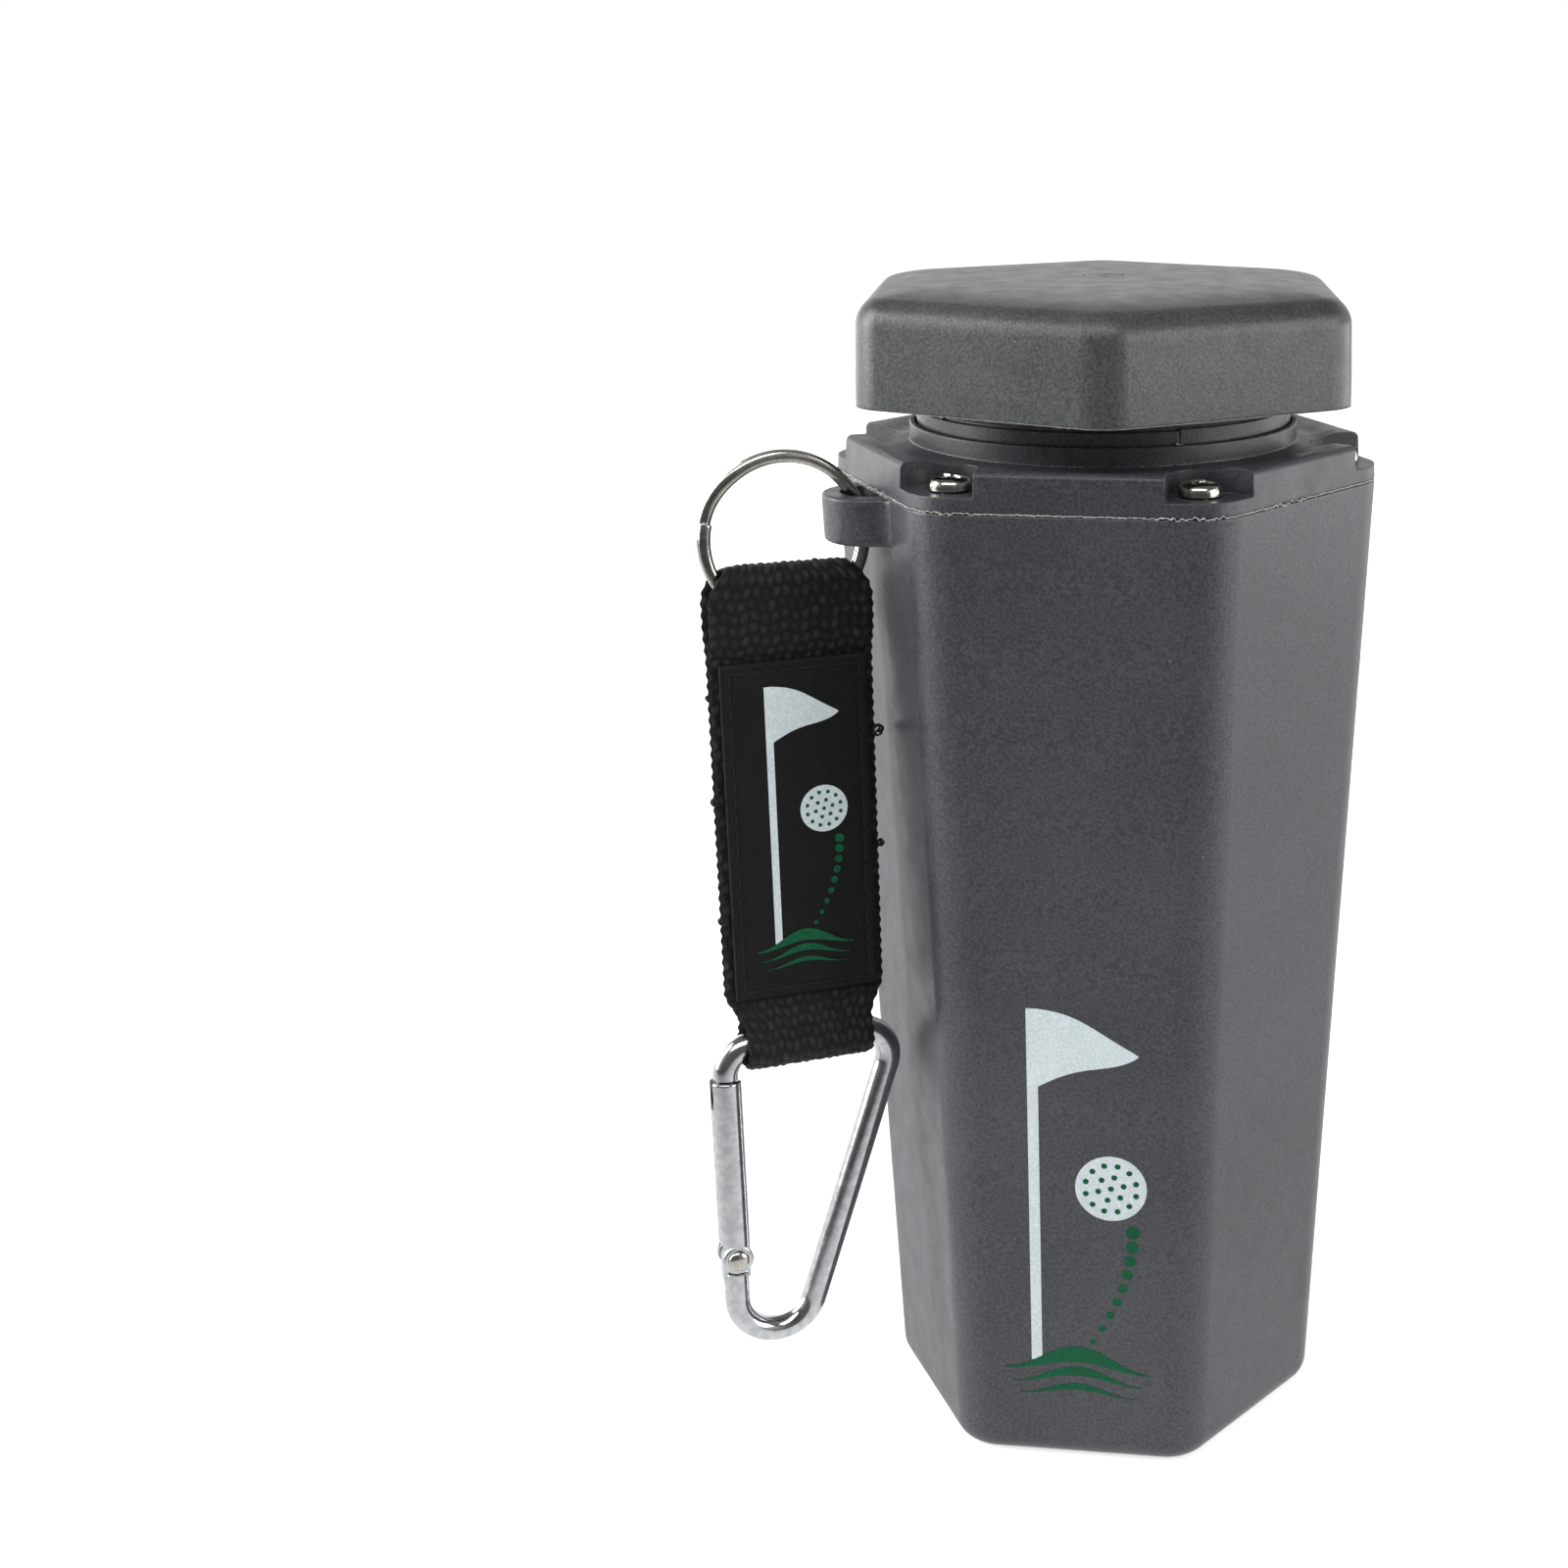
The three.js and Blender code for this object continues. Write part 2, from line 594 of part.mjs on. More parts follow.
function collar() {
  const ringInner = NECK_OUTER_RADIUS + NECK_FOOT_STEP + RING_GROOVE;
  const ringOuter = ringInner + RING_WALL;
  const ringTop = COLLAR_TOP_Z + RING_HEIGHT;
  const footTop = COLLAR_BASE_Z + NECK_FOOT_HEIGHT;
  const foot = NECK_OUTER_RADIUS + NECK_FOOT_STEP;
  const neck = revolved([
    [NECK_BORE_RADIUS, COLLAR_BASE_Z],
    [foot, COLLAR_BASE_Z],
    [foot, footTop],
    [NECK_OUTER_RADIUS, footTop + NECK_FOOT_STEP],
    [NECK_OUTER_RADIUS, NECK_TOP_Z],
    [NECK_BORE_RADIUS, NECK_TOP_Z],
  ]);
  const raisedRing = revolved([
    [NECK_OUTER_RADIUS, COLLAR_TOP_Z - COLLAR_PLATE],
    [ringOuter, COLLAR_TOP_Z - COLLAR_PLATE],
    [ringOuter, ringTop],
    [ringInner, ringTop],
    [ringInner, ringTop - RING_GROOVE_DEPTH],
    [NECK_OUTER_RADIUS, ringTop - RING_GROOVE_DEPTH],
  ]);
  const dishOuter = BODY_FLATS_TOP / 2 - DISH_RIM;
  const dishMiddle = (ringOuter + dishOuter) / 2;
  const dish = revolved([
    [ringOuter, COLLAR_TOP_Z + CUT_OVERRUN],
    [ringOuter, COLLAR_TOP_Z - DISH_DEPTH * DISH_FOOT_SHARE],
    [dishMiddle, COLLAR_TOP_Z - DISH_DEPTH],
    [dishOuter, COLLAR_TOP_Z],
    [dishOuter, COLLAR_TOP_Z + CUT_OVERRUN],
  ]);
  const bore = post(
    NECK_BORE_RADIUS, COLLAR_BASE_Z - CUT_OVERRUN, NECK_TOP_Z + CUT_OVERRUN, 0, 0, LARGE_ROUND,
  );
  const flangeBottom = NECK_TOP_Z - FLANGE_THICKNESS;
  const flange = revolved([
    [NECK_OUTER_RADIUS - NECK_WALL / 2, flangeBottom],
    [FLANGE_RADIUS, flangeBottom],
    [FLANGE_RADIUS, NECK_TOP_Z],
    [NECK_OUTER_RADIUS - NECK_WALL / 2, NECK_TOP_Z],
  ]);
  const opposite = [0, 180];
  const gates = opposite.map((side) => ringSector(
    NECK_OUTER_RADIUS,
    FLANGE_RADIUS + CUT_OVERRUN,
    side + ENTRY_HEADING - ENTRY_SPAN / 2,
    side + ENTRY_HEADING + ENTRY_SPAN / 2,
    flangeBottom - CUT_OVERRUN,
    NECK_TOP_Z + CUT_OVERRUN,
  ));
  const stopBottom = flangeBottom - LUG_THICKNESS - RUNNING_GAP;
  const stopAt = (from) => ringSector(
    NECK_OUTER_RADIUS - NECK_WALL / 2,
    FLANGE_RADIUS,
    from,
    from + STOP_SPAN,
    stopBottom,
    flangeBottom + FLANGE_THICKNESS / 2,
  );
  const lockedEdge = ENTRY_HEADING + CAP_TURN_DEG + LUG_SPAN / 2 + STOP_SLACK;
  const openEdge = ENTRY_HEADING - LUG_SPAN / 2 - STOP_SLACK - STOP_SPAN;
  const stops = opposite.flatMap((side) => [stopAt(side + lockedEdge), stopAt(side + openEdge)]);
  const sockets = BRUSH_HEADINGS.map((heading) => {
    const cup = post(
      SOCKET_RADIUS, COLLAR_BASE_Z - SOCKET_HEIGHT, COLLAR_TOP_Z - COLLAR_PLATE, WIRE_TOP_REACH, 0,
    );
    return towards(cup, heading);
  });
  const socketHoles = BRUSH_HEADINGS.map((heading) => towards(post(
    WIRE_RADIUS + WIRE_CLEARANCE,
    COLLAR_BASE_Z - SOCKET_HEIGHT - CUT_OVERRUN,
    WIRE_TOP_Z + WIRE_CLEARANCE,
    WIRE_TOP_REACH,
    0,
    TINY_ROUND,
  ), heading));
  const pockets = screwPlaces().map((_, corner) => screwPocket(corner));
  const screwHoles = screwPlaces().map(([x, y]) => post(
    SCREW_SHANK_RADIUS + SCREW_CLEARANCE,
    COLLAR_BASE_Z - CUT_OVERRUN,
    POCKET_FLOOR_Z + CUT_OVERRUN,
    x,
    y,
    TINY_ROUND,
  ));
  const railHeadings = [RAIL_HEADING, RAIL_HEADING + 180];
  const plate = cutBy(collarPlate(), [dish, ...pockets, ...screwHoles, bore]);
  const openNeck = joined([neck, raisedRing, cutBy(flange, gates), ...stops]);
  const whole = joined([plate, openNeck, ...sockets, ...railHeadings.map(guideRail)]);
  return cutBy(whole, [...socketHoles, ...railHeadings.map(railChannel)]);
}

// Brush: a straight wire core with fine strands set round it in a spiral
function brush() {
  const core = post(WIRE_RADIUS, 0, WIRE_LENGTH, 0, 0, WIRE_SIDES);
  const strands = [];
  const first = SOCKET_HEIGHT + STRAND_BARE_END;
  const last = WIRE_LENGTH - SOCKET_HEIGHT - STRAND_BARE_END;
  for (let i = 0; i < STRANDS_PER_BRUSH; i += 1) {
    const height = THREE.MathUtils.lerp(first, last, i / (STRANDS_PER_BRUSH - 1));
    const angle = radians(i * STRAND_TURN_DEG);
    const wall = THREE.MathUtils.lerp(WIRE_WALL_OFFSET_BASE, WIRE_WALL_OFFSET_TOP, height / WIRE_LENGTH);
    const outward = Math.cos(angle);
    const room = outward > 0 ? (wall - STRAND_WALL_CLEARANCE) / outward : STRAND_LENGTH;
    const length = Math.min(STRAND_LENGTH, room);
    const strand = new THREE.ConeGeometry(STRAND_RADIUS, length, 3, 1);
    strand.translate(0, length / 2, 0).rotateZ(angle - Math.PI / 2).translate(0, 0, height);
    strands.push(solidOf(strand));
  }
  return joined([core, ...strands]);
}

// Paddle: a flat plate with the ball hole at its foot, two windows and a hub for the swivel
function paddle() {
  const bottom = BODY_FLOOR + PADDLE_FLOOR_GAP;
  const top = NECK_TOP_Z - PADDLE_TOP_DROP;
  const ballZ = bottom + PADDLE_BOTTOM_WEB + BALL_HOLE_RADIUS;
  const shape = roundedRectangle(
    new THREE.Shape(), -PADDLE_HALF_WIDTH, bottom, PADDLE_HALF_WIDTH, top, PADDLE_CORNER,
  );
  const ballHole = crossPin(BALL_HOLE_RADIUS, 2 * PADDLE_THICKNESS, 0, ballZ, LARGE_ROUND);
  const windowBottom = ballZ + BALL_HOLE_RADIUS + PADDLE_WEB;
  const windowTop = top - PADDLE_HEAD_HEIGHT;
  const near = PADDLE_STEM_WIDTH / 2;
  const far = PADDLE_HALF_WIDTH - PADDLE_EDGE_RAIL;
  shape.holes.push(roundedRectangle(
    new THREE.Path(), near, windowBottom, far, windowTop, PADDLE_CORNER,
  ));
  shape.holes.push(roundedRectangle(
    new THREE.Path(), -far, windowBottom, -near, windowTop, PADDLE_CORNER,
  ));
  const plate = plateSolid(shape, PADDLE_THICKNESS, PADDLE_BEVEL);
  const hub = post(PADDLE_HUB_RADIUS, top - PADDLE_HEAD_HEIGHT, PLATE_Z - SEAT_GAP);
  const thread = post(
    SWIVEL_THREAD_RADIUS + SCREW_CLEARANCE,
    PLATE_Z - SWIVEL_THREAD_LENGTH - CUT_OVERRUN,
    PLATE_Z,
    0,
    0,
    TINY_ROUND,
  );
  return cutBy(plate.add(hub), [ballHole, thread]);
}

// Shoulder screw that holds the paddle under the insert plate and lets the cap turn
function swivelScrew() {
  const shoulderTop = PLATE_Z + INSERT_PLATE + 2 * SEAT_GAP + WASHER_THICKNESS;
  const head = panScrew(
    SWIVEL_HEAD_RADIUS,
    SWIVEL_HEAD_HEIGHT,
    SWIVEL_THREAD_RADIUS,
    shoulderTop - PLATE_Z + SWIVEL_THREAD_LENGTH,
  ).translate([0, 0, shoulderTop]);
  const shoulder = post(
    SWIVEL_SHOULDER_RADIUS, PLATE_Z, shoulderTop + SWIVEL_HEAD_HEIGHT * HEAD_EDGE_SHARE,
  );
  return head.add(shoulder);
}

function swivelWasher() {
  const bottom = PLATE_Z + INSERT_PLATE + SEAT_GAP;
  const inner = SWIVEL_SHOULDER_RADIUS + SEAT_GAP;
  return revolved([
    [inner, bottom],
    [WASHER_RADIUS, bottom],
    [WASHER_RADIUS, bottom + WASHER_THICKNESS],
    [inner, bottom + WASHER_THICKNESS],
  ], SMALL_ROUND);
}

// Cap

function capShell() {
  const rings = [
    hexagonRing(CAP_FLATS - 2 * (CAP_WALL + CAP_DRAFT), CAP_CORNER - CAP_WALL, CAP_TOP_Z - CAP_WALL),
    hexagonRing(CAP_FLATS - 2 * CAP_WALL, CAP_CORNER - CAP_WALL, CAP_BOTTOM_Z),
    hexagonRing(CAP_FLATS, CAP_CORNER, CAP_BOTTOM_Z),
  ];
  for (let step = 0; step <= FILLET_STEPS; step += 1) {
    const angle = (step / FILLET_STEPS) * (Math.PI / 2);
    const drawnIn = CAP_DRAFT + CAP_FILLET * (1 - Math.cos(angle));
    rings.push(hexagonRing(
      CAP_FLATS - 2 * drawnIn,
      CAP_CORNER - drawnIn,
      CAP_TOP_Z - CAP_FILLET * (1 - Math.sin(angle)),
    ));
  }
  return solidOf(loft(rings));
}

// Sleeve with two inward lugs and a plate that the swivel screw passes through
function capInsert() {
  const inner = FLANGE_RADIUS + RUNNING_GAP;
  const outer = inner + INSERT_WALL;
  const lugBottom = NECK_TOP_Z - FLANGE_THICKNESS - RUNNING_GAP - LUG_THICKNESS;
  const top = CAP_TOP_Z - CAP_WALL - SEAT_GAP;
  const hole = SWIVEL_SHOULDER_RADIUS + RUNNING_GAP;
  const body = revolved([
    [hole, PLATE_Z],
    [inner, PLATE_Z],
    [inner, lugBottom],
    [outer, lugBottom],
    [outer, top],
    [inner, top],
    [inner, PLATE_Z + INSERT_PLATE],
    [hole, PLATE_Z + INSERT_PLATE],
  ]);
  const locked = ENTRY_HEADING + CAP_TURN_DEG;
  const lugs = [0, 180].map((side) => ringSector(
    NECK_OUTER_RADIUS + RUNNING_GAP,
    inner + INSERT_WALL / 2,
    side + locked - LUG_SPAN / 2,
    side + locked + LUG_SPAN / 2,
    lugBottom,
    lugBottom + LUG_THICKNESS,
  ));
  return joined([body, ...lugs]);
}

function capGasket() {
  return revolved([
    [NECK_BORE_RADIUS, GASKET_Z],
    [FLANGE_RADIUS, GASKET_Z],
    [FLANGE_RADIUS, GASKET_Z + GASKET_THICKNESS],
    [NECK_BORE_RADIUS, GASKET_Z + GASKET_THICKNESS],
  ]);
}

// Strap chain, made in the plane of the ring: local X outward from the cup face, Z up

const RING_X = cupFace(BODY_HEIGHT) + SPLIT_RING_OUT;
const RING_Z = EYE_TOP_Z - SPLIT_RING_DROP;
const WEBBING_TOP_Z = RING_Z - WEBBING_FOLD_DROP;
const WEBBING_BOTTOM_Z = WEBBING_TOP_Z - WEBBING_LENGTH;
const BAR_POCKET_RADIUS = HOOK_ROD_RADIUS + HOOK_BAR_CLEARANCE;
const BAR_Z = WEBBING_BOTTOM_Z + BAR_POCKET_RADIUS + WEBBING_LAYER;
const GATE_TOP_Z = -HOOK_CORNER - SEAT_GAP;
const GATE_LENGTH = GATE_TOP_Z + HOOK_LENGTH - HOOK_NOSE_RADIUS - GATE_HINGE_RISE;
const RIVET_Z = GATE_TOP_Z - GATE_LENGTH;
const WEBBING_END_NARROWING = WEBBING_WIDTH / 2 - HOOK_WIDTH / 2 + HOOK_SIDE_ROOM;

// Two turns of wire side by side, with a groove between them
function splitRing() {
  const inner = SPLIT_RING_RADIUS - SPLIT_WIRE / 2;
  const outer = SPLIT_RING_RADIUS + SPLIT_WIRE / 2;
  const half = SPLIT_WIRE / 2;
  const ease = SPLIT_GROOVE;
  const ring = revolved([
    [inner + ease, -half],
    [outer - ease, -half],
    [outer, -half / 2],
    [outer - ease, 0],
    [outer, half / 2],
    [outer - ease, half],
    [inner + ease, half],
    [inner, half / 2],
    [inner + ease, 0],
    [inner, -half / 2],
  ], LARGE_ROUND / 2);
  return ring.rotate([90, 0, 0]).translate([RING_X, 0, RING_Z]);
}

// Side view of the folded strap in Y and Z: a bulge round the ring, a flat part, a bulge round the bar
function webbingSideShape() {
  const ringHalf = SPLIT_WIRE / 2 + WEBBING_POCKET_CLEARANCE + WEBBING_LAYER;
  const barHalf = BAR_POCKET_RADIUS + WEBBING_LAYER;
  const flat = WEBBING_LAYER;
  const ringEnd = RING_Z - SPLIT_RING_RADIUS - SPLIT_WIRE;
  const shape = new THREE.Shape();
  shape.moveTo(-ringHalf, ringEnd);
  shape.lineTo(-flat, ringEnd - WEBBING_TAPER);
  shape.lineTo(-flat, BAR_Z + WEBBING_FLARE);
  shape.lineTo(-barHalf, BAR_Z);
  shape.absarc(0, BAR_Z, barHalf, Math.PI, FULL_TURN, false);
  shape.lineTo(flat, BAR_Z + WEBBING_FLARE);
  shape.lineTo(flat, ringEnd - WEBBING_TAPER);
  shape.lineTo(ringHalf, ringEnd);
  shape.lineTo(ringHalf, WEBBING_TOP_Z - ringHalf);
  shape.absarc(0, WEBBING_TOP_Z - ringHalf, ringHalf, 0, Math.PI, false);
  return shape;
}

// Front view of the strap in X and Z, rounded at the ring and drawn in at the bar
function webbingFrontShape() {
  const half = WEBBING_WIDTH / 2;
  const narrow = half - WEBBING_END_NARROWING;
  const bottom = WEBBING_BOTTOM_Z - CUT_OVERRUN;
  const neckTop = BAR_Z + BAR_POCKET_RADIUS;
  const shape = new THREE.Shape();
  shape.moveTo(RING_X - narrow, bottom);
  shape.lineTo(RING_X + narrow, bottom);
  shape.lineTo(RING_X + narrow, neckTop);
  shape.lineTo(RING_X + half, neckTop + WEBBING_SHOULDER);
  shape.lineTo(RING_X + half, WEBBING_TOP_Z - WEBBING_SHOULDER);
  shape.absarc(
    RING_X + half - WEBBING_SHOULDER, WEBBING_TOP_Z - WEBBING_SHOULDER, WEBBING_SHOULDER,
    0, Math.PI / 2, false,
  );
  shape.lineTo(RING_X - half + WEBBING_SHOULDER, WEBBING_TOP_Z);
  shape.absarc(
    RING_X - half + WEBBING_SHOULDER, WEBBING_TOP_Z - WEBBING_SHOULDER, WEBBING_SHOULDER,
    Math.PI / 2, Math.PI, false,
  );
  shape.lineTo(RING_X - half, neckTop + WEBBING_SHOULDER);
  shape.lineTo(RING_X - narrow, neckTop);
  return shape;
}

function webbing() {
  const side = new THREE.ExtrudeGeometry(webbingSideShape(), {
    depth: WEBBING_WIDTH,
    bevelEnabled: false,
    curveSegments: FOLD_STEPS,
  });
  side.rotateX(Math.PI / 2).rotateZ(Math.PI / 2).translate(RING_X - WEBBING_WIDTH / 2, 0, 0);
  const front = plateSolid(webbingFrontShape(), WEBBING_WIDTH);
  const inner = SPLIT_RING_RADIUS - SPLIT_WIRE / 2 - WEBBING_POCKET_CLEARANCE;
  const outer = SPLIT_RING_RADIUS + SPLIT_WIRE / 2 + WEBBING_POCKET_CLEARANCE;
  const half = SPLIT_WIRE / 2 + WEBBING_POCKET_CLEARANCE;
  const ringPocket = revolved([
    [inner, -half], [outer, -half], [outer, half], [inner, half],
  ], LARGE_ROUND / 2).rotate([90, 0, 0]).translate([RING_X, 0, RING_Z]);
  const barPocket = solidOf(new THREE.CylinderGeometry(
    BAR_POCKET_RADIUS, BAR_POCKET_RADIUS, WEBBING_WIDTH + 2 * CUT_OVERRUN, SMALL_ROUND,
  ).rotateZ(Math.PI / 2).translate(RING_X, 0, BAR_Z));
  return cutBy(solidOf(side).intersect(front), [ringPocket, barPocket]);
}

function strapLabel() {
  const top = WEBBING_TOP_Z - LABEL_TOP_INSET;
  const near = WEBBING_LAYER + LABEL_GAP;
  return block(
    [RING_X - LABEL_WIDTH / 2, near, WEBBING_BOTTOM_Z + LABEL_BOTTOM_INSET],
    [RING_X + LABEL_WIDTH / 2, near + LABEL_THICKNESS, top],
  );
}

// Points along the bent rod of the snap hook, from its nose round to the gate hinge
function hookPath() {
  const half = HOOK_WIDTH / 2;
  const nose = new THREE.Vector2(half - HOOK_NOSE_RADIUS, HOOK_NOSE_RADIUS - HOOK_LENGTH);
  const corner = new THREE.Vector2(HOOK_CORNER - half, -HOOK_CORNER);
  const between = nose.clone().sub(corner);
  const tangent = between.angle()
    - Math.acos((HOOK_CORNER - HOOK_NOSE_RADIUS) / between.length()) - FULL_TURN;
  const points = [];
  const arc = (centre, radius, from, to, steps) => {
    for (let step = 0; step <= steps; step += 1) {
      const angle = THREE.MathUtils.lerp(from, to, step / steps);
      points.push(new THREE.Vector2(
        centre.x + radius * Math.cos(angle),
        centre.y + radius * Math.sin(angle),
      ));
    }
  };
  arc(new THREE.Vector2(half - HOOK_CORNER, -HOOK_CORNER), HOOK_CORNER, 0, Math.PI / 2, CORNER_STEPS);
  arc(corner, HOOK_CORNER, Math.PI / 2, tangent + FULL_TURN, WIDE_CORNER_STEPS);
  arc(nose, HOOK_NOSE_RADIUS, tangent + FULL_TURN, FULL_TURN, NOSE_STEPS);
  points.push(new THREE.Vector2(half, RIVET_Z - GATE_RADIUS - RUNNING_GAP));
  return points;
}

// Round rod swept along a flat path in X and Z
function bentRod(points, radius) {
  const rings = points.map((point, i) => {
    const before = points[Math.max(i - 1, 0)];
    const after = points[Math.min(i + 1, points.length - 1)];
    const along = after.clone().sub(before).normalize();
    return Array.from({ length: ROD_SIDES }, (_, k) => {
      const angle = (k * FULL_TURN) / ROD_SIDES;
      const sideways = radius * Math.cos(angle);
      return new THREE.Vector3(
        point.x - along.y * sideways,
        radius * Math.sin(angle),
        point.y + along.x * sideways,
      );
    });
  });
  return solidOf(loft(rings));
}

function hookFrame() {
  const half = HOOK_WIDTH / 2;
  const tongueBottom = RIVET_Z - GATE_RADIUS - 2 * RUNNING_GAP;
  const tongue = block(
    [half - TONGUE_RADIUS * HEX_COS, -TONGUE_THICKNESS / 2, tongueBottom],
    [half + TONGUE_RADIUS * HEX_COS, TONGUE_THICKNESS / 2, RIVET_Z],
  );
  const eye = crossPin(TONGUE_RADIUS, TONGUE_THICKNESS, half, RIVET_Z);
  const hole = crossPin(RIVET_RADIUS + RIVET_CLEARANCE, HOOK_WIDTH, half, RIVET_Z, TINY_ROUND);
  const rod = bentRod(hookPath(), HOOK_ROD_RADIUS);
  return joined([rod, tongue, eye]).subtract(hole).translate([RING_X, 0, BAR_Z]);
}

function hookGate() {
  const half = HOOK_WIDTH / 2;
  const cylinder = post(GATE_RADIUS, RIVET_Z, GATE_TOP_Z, half, 0);
  const cheek = crossPin(GATE_RADIUS, 2 * GATE_RADIUS, half, RIVET_Z);
  const reach = GATE_RADIUS + CUT_OVERRUN;
  const slot = block(
    [half - reach, -GATE_SLOT / 2, RIVET_Z - reach],
    [half + reach, GATE_SLOT / 2, RIVET_Z + TONGUE_RADIUS + RUNNING_GAP],
  );
  const hole = crossPin(RIVET_RADIUS + RIVET_CLEARANCE, HOOK_WIDTH, half, RIVET_Z, TINY_ROUND);
  return cutBy(cylinder.add(cheek), [slot, hole]).translate([RING_X, 0, BAR_Z]);
}

function gateRivet() {
  const shank = GATE_RADIUS + RIVET_CLEARANCE;
  const end = shank + RIVET_HEAD_THICKNESS;
  const profile = [
    [0, -end],
    [RIVET_HEAD_RADIUS / 2, -end],
    [RIVET_HEAD_RADIUS, -shank],
    [RIVET_RADIUS, -shank],
    [RIVET_RADIUS, shank],
    [RIVET_HEAD_RADIUS, shank],
    [RIVET_HEAD_RADIUS / 2, end],
    [0, end],
  ].map(([radius, height]) => new THREE.Vector2(radius, height));
  const rivet = solidOf(new THREE.LatheGeometry(profile, TINY_ROUND));
  return rivet.translate([RING_X + HOOK_WIDTH / 2, 0, BAR_Z + RIVET_Z]);
}

// Scene graph: one named mesh for each piece

function piece(name, solid, material) {
  const mesh = new THREE.Mesh(geometryOf(solid), material);
  mesh.name = name;
  return mesh;
}

function cupPieces() {
  const pieces = [
    piece('body_shell', bodyShell(), greyPlastic),
    piece('rim_seal', rimSeal(), blackRubber),
    piece('collar', collar(), greyPlastic),
  ];
  const screw = panScrew(SCREW_HEAD_RADIUS, SCREW_HEAD_HEIGHT, SCREW_SHANK_RADIUS, SCREW_LENGTH);
  screwPlaces().forEach(([x, y], i) => {
    const mesh = piece(`collar_screw_${i + 1}`, screw, steel);
    mesh.position.set(x, y, POCKET_FLOOR_Z + RIVET_CLEARANCE);
    pieces.push(mesh);
  });
  return pieces;
}

function brushPieces() {
  const solid = brush();
  return BRUSH_HEADINGS.map((heading, i) => {
    const mesh = piece(`brush_${i + 1}`, solid, brushFibre);
    mesh.position.set(WIRE_BASE_REACH, 0, WIRE_BASE_Z);
    mesh.rotation.y = WIRE_LEAN;
    const stand = new THREE.Group();
    stand.rotation.z = headingTurn(heading);
    stand.add(mesh);
    return stand;
  });
}

function carrierPieces() {
  const carrier = new THREE.Group();
  carrier.rotation.z = headingTurn(RAIL_HEADING);
  carrier.add(piece('ball_paddle', paddle(), greyPlastic));
  carrier.add(piece('swivel_screw', swivelScrew(), steel));
  carrier.add(piece('swivel_washer', swivelWasher(), steel));
  return carrier;
}

function capPieces() {
  const cap = new THREE.Group();
  cap.rotation.z = radians(CAP_TURN_DEG);
  cap.add(piece('cap_shell', capShell(), greyPlastic));
  cap.add(piece('cap_insert', capInsert(), greyPlastic));
  cap.add(piece('cap_gasket', capGasket(), blackRubber));
  return cap;
}

function strapPieces() {
  const strap = new THREE.Group();
  strap.rotation.z = headingTurn(RAIL_HEADING);
  strap.add(piece('split_ring', splitRing(), steel));
  strap.add(piece('strap_webbing', webbing(), blackWebbing));
  strap.add(piece('strap_label', strapLabel(), blackWebbing));
  strap.add(piece('hook_frame', hookFrame(), aluminium));
  strap.add(piece('hook_gate', hookGate(), aluminium));
  strap.add(piece('gate_rivet', gateRivet(), steel));
  return strap;
}

const ballWasher = new THREE.Group();
ballWasher.add(...cupPieces(), ...brushPieces(), carrierPieces(), capPieces(), strapPieces());

export default ballWasher;
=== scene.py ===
"""Dressed scene of a hand-held golf ball washer.

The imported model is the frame: every fine surface below stands where its node stands. The cup,
collar, cap, brushes, paddle and strap chain are worked out again as dense smooth surfaces, and
each has the finish of its real material. Sizes are in millimetres until a mesh is made.
"""

import logging
import math
from collections.abc import Callable
from dataclasses import dataclass, replace
from enum import Enum

import bmesh
import bpy
import numpy as np
from numpy.typing import ArrayLike
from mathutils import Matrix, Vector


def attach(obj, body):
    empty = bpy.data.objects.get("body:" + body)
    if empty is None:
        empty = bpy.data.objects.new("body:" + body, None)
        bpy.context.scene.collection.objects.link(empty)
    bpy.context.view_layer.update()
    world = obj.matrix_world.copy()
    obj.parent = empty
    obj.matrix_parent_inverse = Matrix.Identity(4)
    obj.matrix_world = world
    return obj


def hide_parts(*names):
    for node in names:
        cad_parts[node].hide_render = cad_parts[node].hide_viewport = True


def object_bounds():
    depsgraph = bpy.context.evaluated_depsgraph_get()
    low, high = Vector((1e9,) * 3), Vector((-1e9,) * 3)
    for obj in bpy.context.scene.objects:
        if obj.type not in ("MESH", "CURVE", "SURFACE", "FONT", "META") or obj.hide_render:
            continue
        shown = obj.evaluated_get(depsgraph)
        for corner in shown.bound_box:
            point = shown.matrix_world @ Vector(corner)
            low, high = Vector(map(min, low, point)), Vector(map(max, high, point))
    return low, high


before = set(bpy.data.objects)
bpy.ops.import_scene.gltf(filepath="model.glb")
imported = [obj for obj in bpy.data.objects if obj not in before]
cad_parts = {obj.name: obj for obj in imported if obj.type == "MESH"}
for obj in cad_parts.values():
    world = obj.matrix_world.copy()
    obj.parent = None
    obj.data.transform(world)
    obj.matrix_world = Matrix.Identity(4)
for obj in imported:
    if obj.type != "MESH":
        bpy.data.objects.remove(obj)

Piece = bpy.types.Object
Tree = bpy.types.NodeTree
Socket = bpy.types.NodeSocket
Array = np.ndarray
# From points, or from x, z and a height, to points
Place = Callable[..., Array]

CAD_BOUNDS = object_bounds()
MM = 0.001
TURN = 2 * math.pi
HEX_COS = math.cos(math.pi / 6)
SIXTHS = np.arange(6) * TURN / 6
UP = np.array([0, 0, 1.0])
ASIDE = np.array([0, 1.0, 0])
# Metres within which two points are one
SAME_PLACE = 2e-6
# Millimetres by which a cut runs past what it cuts
OVERRUN = 1.0
WHITE = (1, 1, 1, 1)

log = logging.getLogger("washer")


class Carve(Enum):
    """How one solid is combined with another."""

    CUT = "DIFFERENCE"
    JOIN = "UNION"
    KEEP = "INTERSECT"


